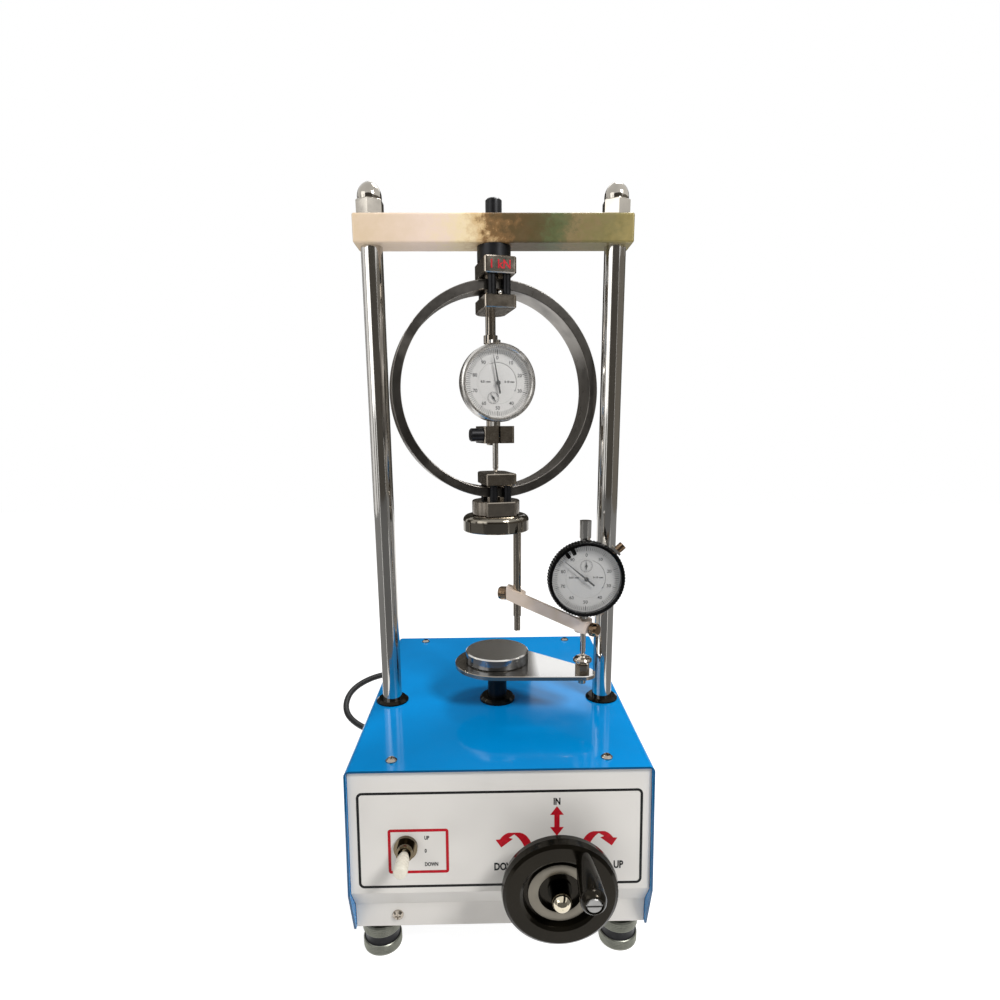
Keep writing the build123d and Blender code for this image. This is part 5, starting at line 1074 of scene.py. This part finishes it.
class TESTER_OT_dial_print(Operator):
    """Scales, numbers and unit legends of both dials, and the small hand of each over its own scale"""
    bl_idname = "tester.dial_print"
    bl_label = "Dial print"

    def execute(self, context):
        size = sizes()
        ink = size.ink
        for name, matrix, rim, case, lacquer, edge, numbers, (x, y), reach, lean, (start, turn) in DIALS:
            marks = [
                ring_marks(name + kind, size.dial_marks // every, (edge - long) * MM, edge * MM, wide * MM, ink)
                for kind, every, long, wide in MARKS
            ]
            words = []
            for i in range(10):
                angle = pi / 2 - 2 * pi * i / 10
                across, up = numbers * MM * cos(angle), numbers * MM * sin(angle)
                words.append((str(10 * i), size.dial_text, across, up, 0))
            scale = merge(name + "_scale", marks + [lettering(name + "_numbers", words, ink, 0.02)])
            place(scale, above(matrix, DIAL_FACE))
            dress(scale, "black screen ink", rim)

            ticks = ring_marks(name + "_hand_ticks", 20, (reach - 1.1) * MM, (reach - 0.1) * MM, 0.26 * MM, ink)
            circle = circle_line(name + "_hand_circle", reach * MM, 0.16 * MM, ink)
            small = shifted(merge(name + "_hand_scale", [ticks, circle]), x * MM, y * MM)
            middle = lathe(name + "_inner_face", [
                (0.0, 0.0), (INNER_RADIUS, 0.0), (INNER_RADIUS, 0.04), (INNER_RADIUS - 0.05, INNER_FACE),
                (0.0, INNER_FACE),
            ])
            place(middle, above(matrix, DIAL_FACE))
            dress(middle, lacquer, case, 30)
            legend = lettering(name + "_legend", [
                (text, size.unit_text, side * LEGEND_ACROSS * MM, 1.0 * MM, 0)
                for text, side in (("0.01 mm", -1), ("0-10 mm", 1))
            ], ink, 0.05)
            sweep = curved_arrow(name + "_sweep", SWEEP_RADIUS * MM, 0.26 * MM, radians(start), radians(turn),
                                 1.4 * MM, 3.6, ink)
            inner = merge(name + "_inner_print", [small, legend, sweep])
            place(inner, above(matrix, DIAL_FACE + INNER_FACE))
            dress(inner, "black screen ink", case)

            blade = plate(name + "_small_hand", [
                (0.0, 4.2), (-0.42, 0.8), (-0.42, -0.8), (-0.22, -3.1), (0.22, -3.1), (0.42, -0.8), (0.42, 0.8),
            ], 0.25 * MM)
            hub = lathe(name + "_small_hub", [
                (0.0, -0.5), (0.6, -0.5), (0.6, -0.02), (0.95, -0.02), (0.95, 0.3), (0.0, 0.3),
            ], 32)
            slim = merge(name + "_slim_hand", [blade, hub])
            place(slim, above(matrix, HAND_HEIGHT) @ Matrix.Translation((x * MM, y * MM, 0))
                  @ Matrix.Rotation(radians(lean), 4, "Z"))
            dress(slim, "black screen ink", name + "_small_hand", 30)
            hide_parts(name + "_dial_counter")
        return {"FINISHED"}


CLIP_ANGLES, CLIP_RADIUS, CLIP_HEIGHT = (115.8, 127.5), 24.8, 14.45
LOCK_ANGLE, LOCK_RADIUS, LOCK_HEIGHT = radians(43.0), 32.1, 7.5


class TESTER_OT_strain_rim(Operator):
    """Notched black rim of the strain dial with its two limit clips, and the nickelled cap of its lock screw"""
    bl_idname = "tester.strain_rim"
    bl_label = "Strain dial rim"

    def execute(self, context):
        rim = lathe("strain_rim_ring", [
            (27.05, 4.3), (29.4, 4.3), (29.9, 4.8), (29.9, 9.4), (29.4, 9.9), (29.4, 10.6), (29.85, 11.0),
            (29.85, 12.0), (29.5, 13.2), (28.7, 14.1), (27.8, 14.45), (27.2, 14.4), (26.6, 13.8), (26.5, 13.35),
            (26.5, 6.6), (27.05, 6.6), (27.05, 4.3),
        ], 2 * RIM_NOTCHES)
        edit(rim)
        # Every other row of points is drawn in, which leaves the notches
        choose("VERT", lambda spot, normal: spot.xy.length > 29.3 * MM
               and round(atan2(spot.y, spot.x) * RIM_NOTCHES / pi) % 2 == 0)
        bpy.ops.transform.resize(value=(NOTCH_SHARE, NOTCH_SHARE, 1.0), center_override=(0, 0, 0))
        done()
        bpy.ops.object.shade_smooth_by_angle(angle=radians(28))

        clips = []
        for angle in CLIP_ANGLES:
            clip = sheet("limit_clip", 5.2 * MM, 3.0 * MM)
            bpy.ops.mesh.bevel(affect="VERTICES", offset=0.7 * MM, segments=3)
            bpy.ops.mesh.select_all(action="SELECT")
            bpy.ops.mesh.extrude_region_move(TRANSFORM_OT_translate={"value": (0, 0, 0.8 * MM)})
            bpy.ops.mesh.inset(thickness=0.3 * MM, depth=0.0)
            bpy.ops.mesh.select_all(action="SELECT")
            bpy.ops.mesh.normals_make_consistent(inside=False)
            done()
            turn = Matrix.Rotation(radians(angle), 4, "Z")
            clips.append(place(clip, turn @ Matrix.Translation((CLIP_RADIUS * MM, 0, CLIP_HEIGHT * MM))))
        whole = merge("strain_rim", [rim] + clips)
        place(whole, STRAIN_DIAL)
        dress(whole, "black rim plastic", "strain_rim")
        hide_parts("strain_dial_bezel")

        screw = lathe("rim_lock_screw", [
            (0.0, 6.15), (2.3, 6.15), (3.15, 5.6), (3.15, 1.2), (2.8, 0.6), (2.8, 0.0), (3.02, 0.0),
            (3.02, 6.02), (0.0, 6.02),
        ], 36)
        knurl(screw, 0.12 * MM, lambda middle, normal: 1.3 * MM < middle.z < 5.5 * MM
              and middle.xy.length > 3.08 * MM)
        way = Vector((cos(LOCK_ANGLE), sin(LOCK_ANGLE), 0))
        seat = STRAIN_DIAL @ ((way * LOCK_RADIUS + UP * LOCK_HEIGHT) * MM)
        place(screw, facing(seat / MM, (0, 1, 0), STRAIN_DIAL.to_3x3() @ way))
        dress(screw, "bronze nickel", "arm", 25)
        return {"FINISHED"}


# Knurled bands of a foot: radius, height of each above the floor, and spacing and number of their rows
KNURL_RADIUS, BANDS, ROW_PITCH, ROWS = 14.15, (1.0, 16.0), 1.4, 6


class TESTER_OT_feet(Operator):
    """Four levelling feet, each with two knurled rings and a plain waist"""
    bl_idname = "tester.feet"
    bl_label = "Levelling feet"

    def execute(self, context):
        lower, upper = [[(KNURL_RADIUS, band + ROW_PITCH * i) for i in range(ROWS)] for band in BANDS]
        first = lathe("foot", [
            (0.0, 0.0), (13.5, 0.0), (KNURL_RADIUS, 0.5), *lower, (13.6, 8.5), (13.0, 8.7), (12.8, 9.4),
            (12.8, 14.6), (13.0, 15.3), (13.6, 15.5), *upper, (13.5, 24.0), (9.6, 24.0), (9.0, 24.6),
            (9.0, 28.0), (5.0, 28.0), (5.0, 44.4), (4.4, 45.0), (0.0, 45.0),
        ], sizes().knurl_points)
        tall = ROW_PITCH * (ROWS - 1)
        knurl(first, sizes().knurl_depth, lambda middle, normal: middle.xy.length > 14.0 * MM
              and any(band * MM < middle.z < (band + tall) * MM for band in BANDS))
        bpy.ops.object.shade_smooth_by_angle(angle=radians(25))
        two_finishes(first, "knurled nickel steel", "black oxide steel",
                     lambda middle, normal: middle.z > 28.5 * MM or 8.6 * MM < middle.z < 15.4 * MM)
        for node, body in (("foot_front_left", "foot_fl"), ("foot_front_right", "foot_fr"),
                           ("foot_rear_left", "foot_rl"), ("foot_rear_right", "foot_rr")):
            only(first)
            bpy.ops.object.duplicate(linked=False)
            foot = context.object
            foot.name = foot.data.name = "knurled_" + node
            middle = box_of(node)[2] * MM
            place(foot, Matrix.Translation((middle.x, middle.y, 0)))
            dress(foot, None, body)
            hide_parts(node)
        bpy.data.objects.remove(first)
        return {"FINISHED"}


# Axes of the support rod and of the strain dial's stem where the arm's thumb screws grip them
ROD_GRIP = LOAD_AXIS + Vector((16.4, -16.0, 254.05))
STEM_GRIP = LOAD_AXIS + Vector((68.5, -27.0, 228.55))
STEM_SCREW_TURN = radians(30)
# Top of the lower block of the pair above its foot, and how far in front of the axis the stop and mark stand
BLOCK_TOP, STOP_FRONT, MARK_FRONT, MARK_DROP = 9.2, 18.0, 20.5, 5.75
RING_DEPTH = -3.5


class TESTER_OT_small_metal(Operator):
    """Thumb screws of the dial arm, the wheel's turned ring, and the ring blocks' stop and capacity mark"""
    bl_idname = "tester.small_metal"
    bl_label = "Small metal"

    def execute(self, context):
        along = (STEM_GRIP - ROD_GRIP).xy.to_3d().normalized()
        front = Vector((along.y, -along.x, 0))
        stem_way = along * cos(STEM_SCREW_TURN) + front * sin(STEM_SCREW_TURN)
        rows = [(5.35, 0.9 + 0.95 * i) for i in range(5)]
        head = [(4.6, 0.0), (5.35, 0.6), *rows, (5.0, 5.7), (4.4, 6.6), (3.4, 7.2), (2.0, 7.5), (0.0, 7.5)]
        screws = []
        for spot, way, seat, inner in ((ROD_GRIP, -along, 8.3, 3.5), (STEM_GRIP, stem_way, 7.3, 4.3)):
            screw = lathe("thumb_screw", [(0.0, inner - seat), (2.0, inner - seat), (2.0, 0.0), *head], 44)
            knurl(screw, 0.14 * MM, lambda middle, normal: 1.0 * MM < middle.z < 4.6 * MM
                  and middle.xy.length > 5.2 * MM)
            screws.append(place(screw, facing(spot + way * seat, way.cross(UP), way)))
        pair = merge("thumb_screws", screws)
        dress(pair, "bronze nickel", "arm", 25)
        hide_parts("arm_screws")

        ring = lathe("wheel_ring", [
            (14.7, 0.0), (21.3, 0.0), (21.3, 0.1), (21.1, 0.2), (14.9, 0.2), (14.7, 0.1), (14.7, 0.0),
        ], 128)
        place(ring, above(WHEEL, RING_DEPTH))
        dress(ring, "dark turned steel", "wheel", 30)

        low, high = box_of("upper_ring_blocks")[:2]
        stop = lathe("block_stop", [
            (0.0, -0.3), (1.1, -0.3), (1.1, 0.0), (1.6, 0.6), (1.75, 1.3), (1.6, 2.0), (1.1, 2.65), (0.0, 2.95),
        ], 24)
        place(stop, facing(LOAD_AXIS + RING_FRONT * STOP_FRONT + UP * (low.z + BLOCK_TOP), (1, 0, 0), UP))
        dress(stop, "chrome plate", "load_frame", 60)

        mark = lettering("ring_capacity", [("1 kN", 6.0 * MM, 0.0, 0.0, 0)], sizes().ink)
        seat = LOAD_AXIS + RING_FRONT * MARK_FRONT + UP * (high.z - MARK_DROP)
        place(mark, facing(seat, RING_RIGHT, RING_FRONT))
        dress(mark, "red screen ink", "load_frame")
        return {"FINISHED"}


STEPS = ("stage", "finishes", "plug", "lead", "panel_print", "switch_lever", "dial_print", "strain_rim", "feet",
         "small_metal")


class TESTER_PT_looks(Panel):
    """Lists the pieces and what may be changed on them"""
    bl_idname = "TESTER_PT_looks"
    bl_label = "Soil Tester"
    bl_space_type = "VIEW_3D"
    bl_region_type = "UI"
    bl_category = "Soil Tester"

    def draw(self, context):
        for step in STEPS:
            self.layout.operator("tester." + step)
        for group in (context.scene.tester_sizes, context.scene.tester_colours):
            column = self.layout.column()
            for name in group.__annotations__:
                column.prop(group, name)


CLASSES = (TesterSizes, TesterColours, TESTER_OT_stage, TESTER_OT_finishes, TESTER_OT_plug, TESTER_OT_lead,
           TESTER_OT_panel_print, TESTER_OT_switch_lever, TESTER_OT_dial_print, TESTER_OT_strain_rim,
           TESTER_OT_feet, TESTER_OT_small_metal, TESTER_PT_looks)


def register():
    for item in CLASSES:
        bpy.utils.register_class(item)
    bpy.types.Scene.tester_sizes = PointerProperty(type=TesterSizes)
    bpy.types.Scene.tester_colours = PointerProperty(type=TesterColours)


def unregister():
    del bpy.types.Scene.tester_colours
    del bpy.types.Scene.tester_sizes
    for item in reversed(CLASSES):
        bpy.utils.unregister_class(item)


def main():
    register()
    for step in STEPS:
        getattr(bpy.ops.tester, step)()


if __name__ == "__main__":
    main()
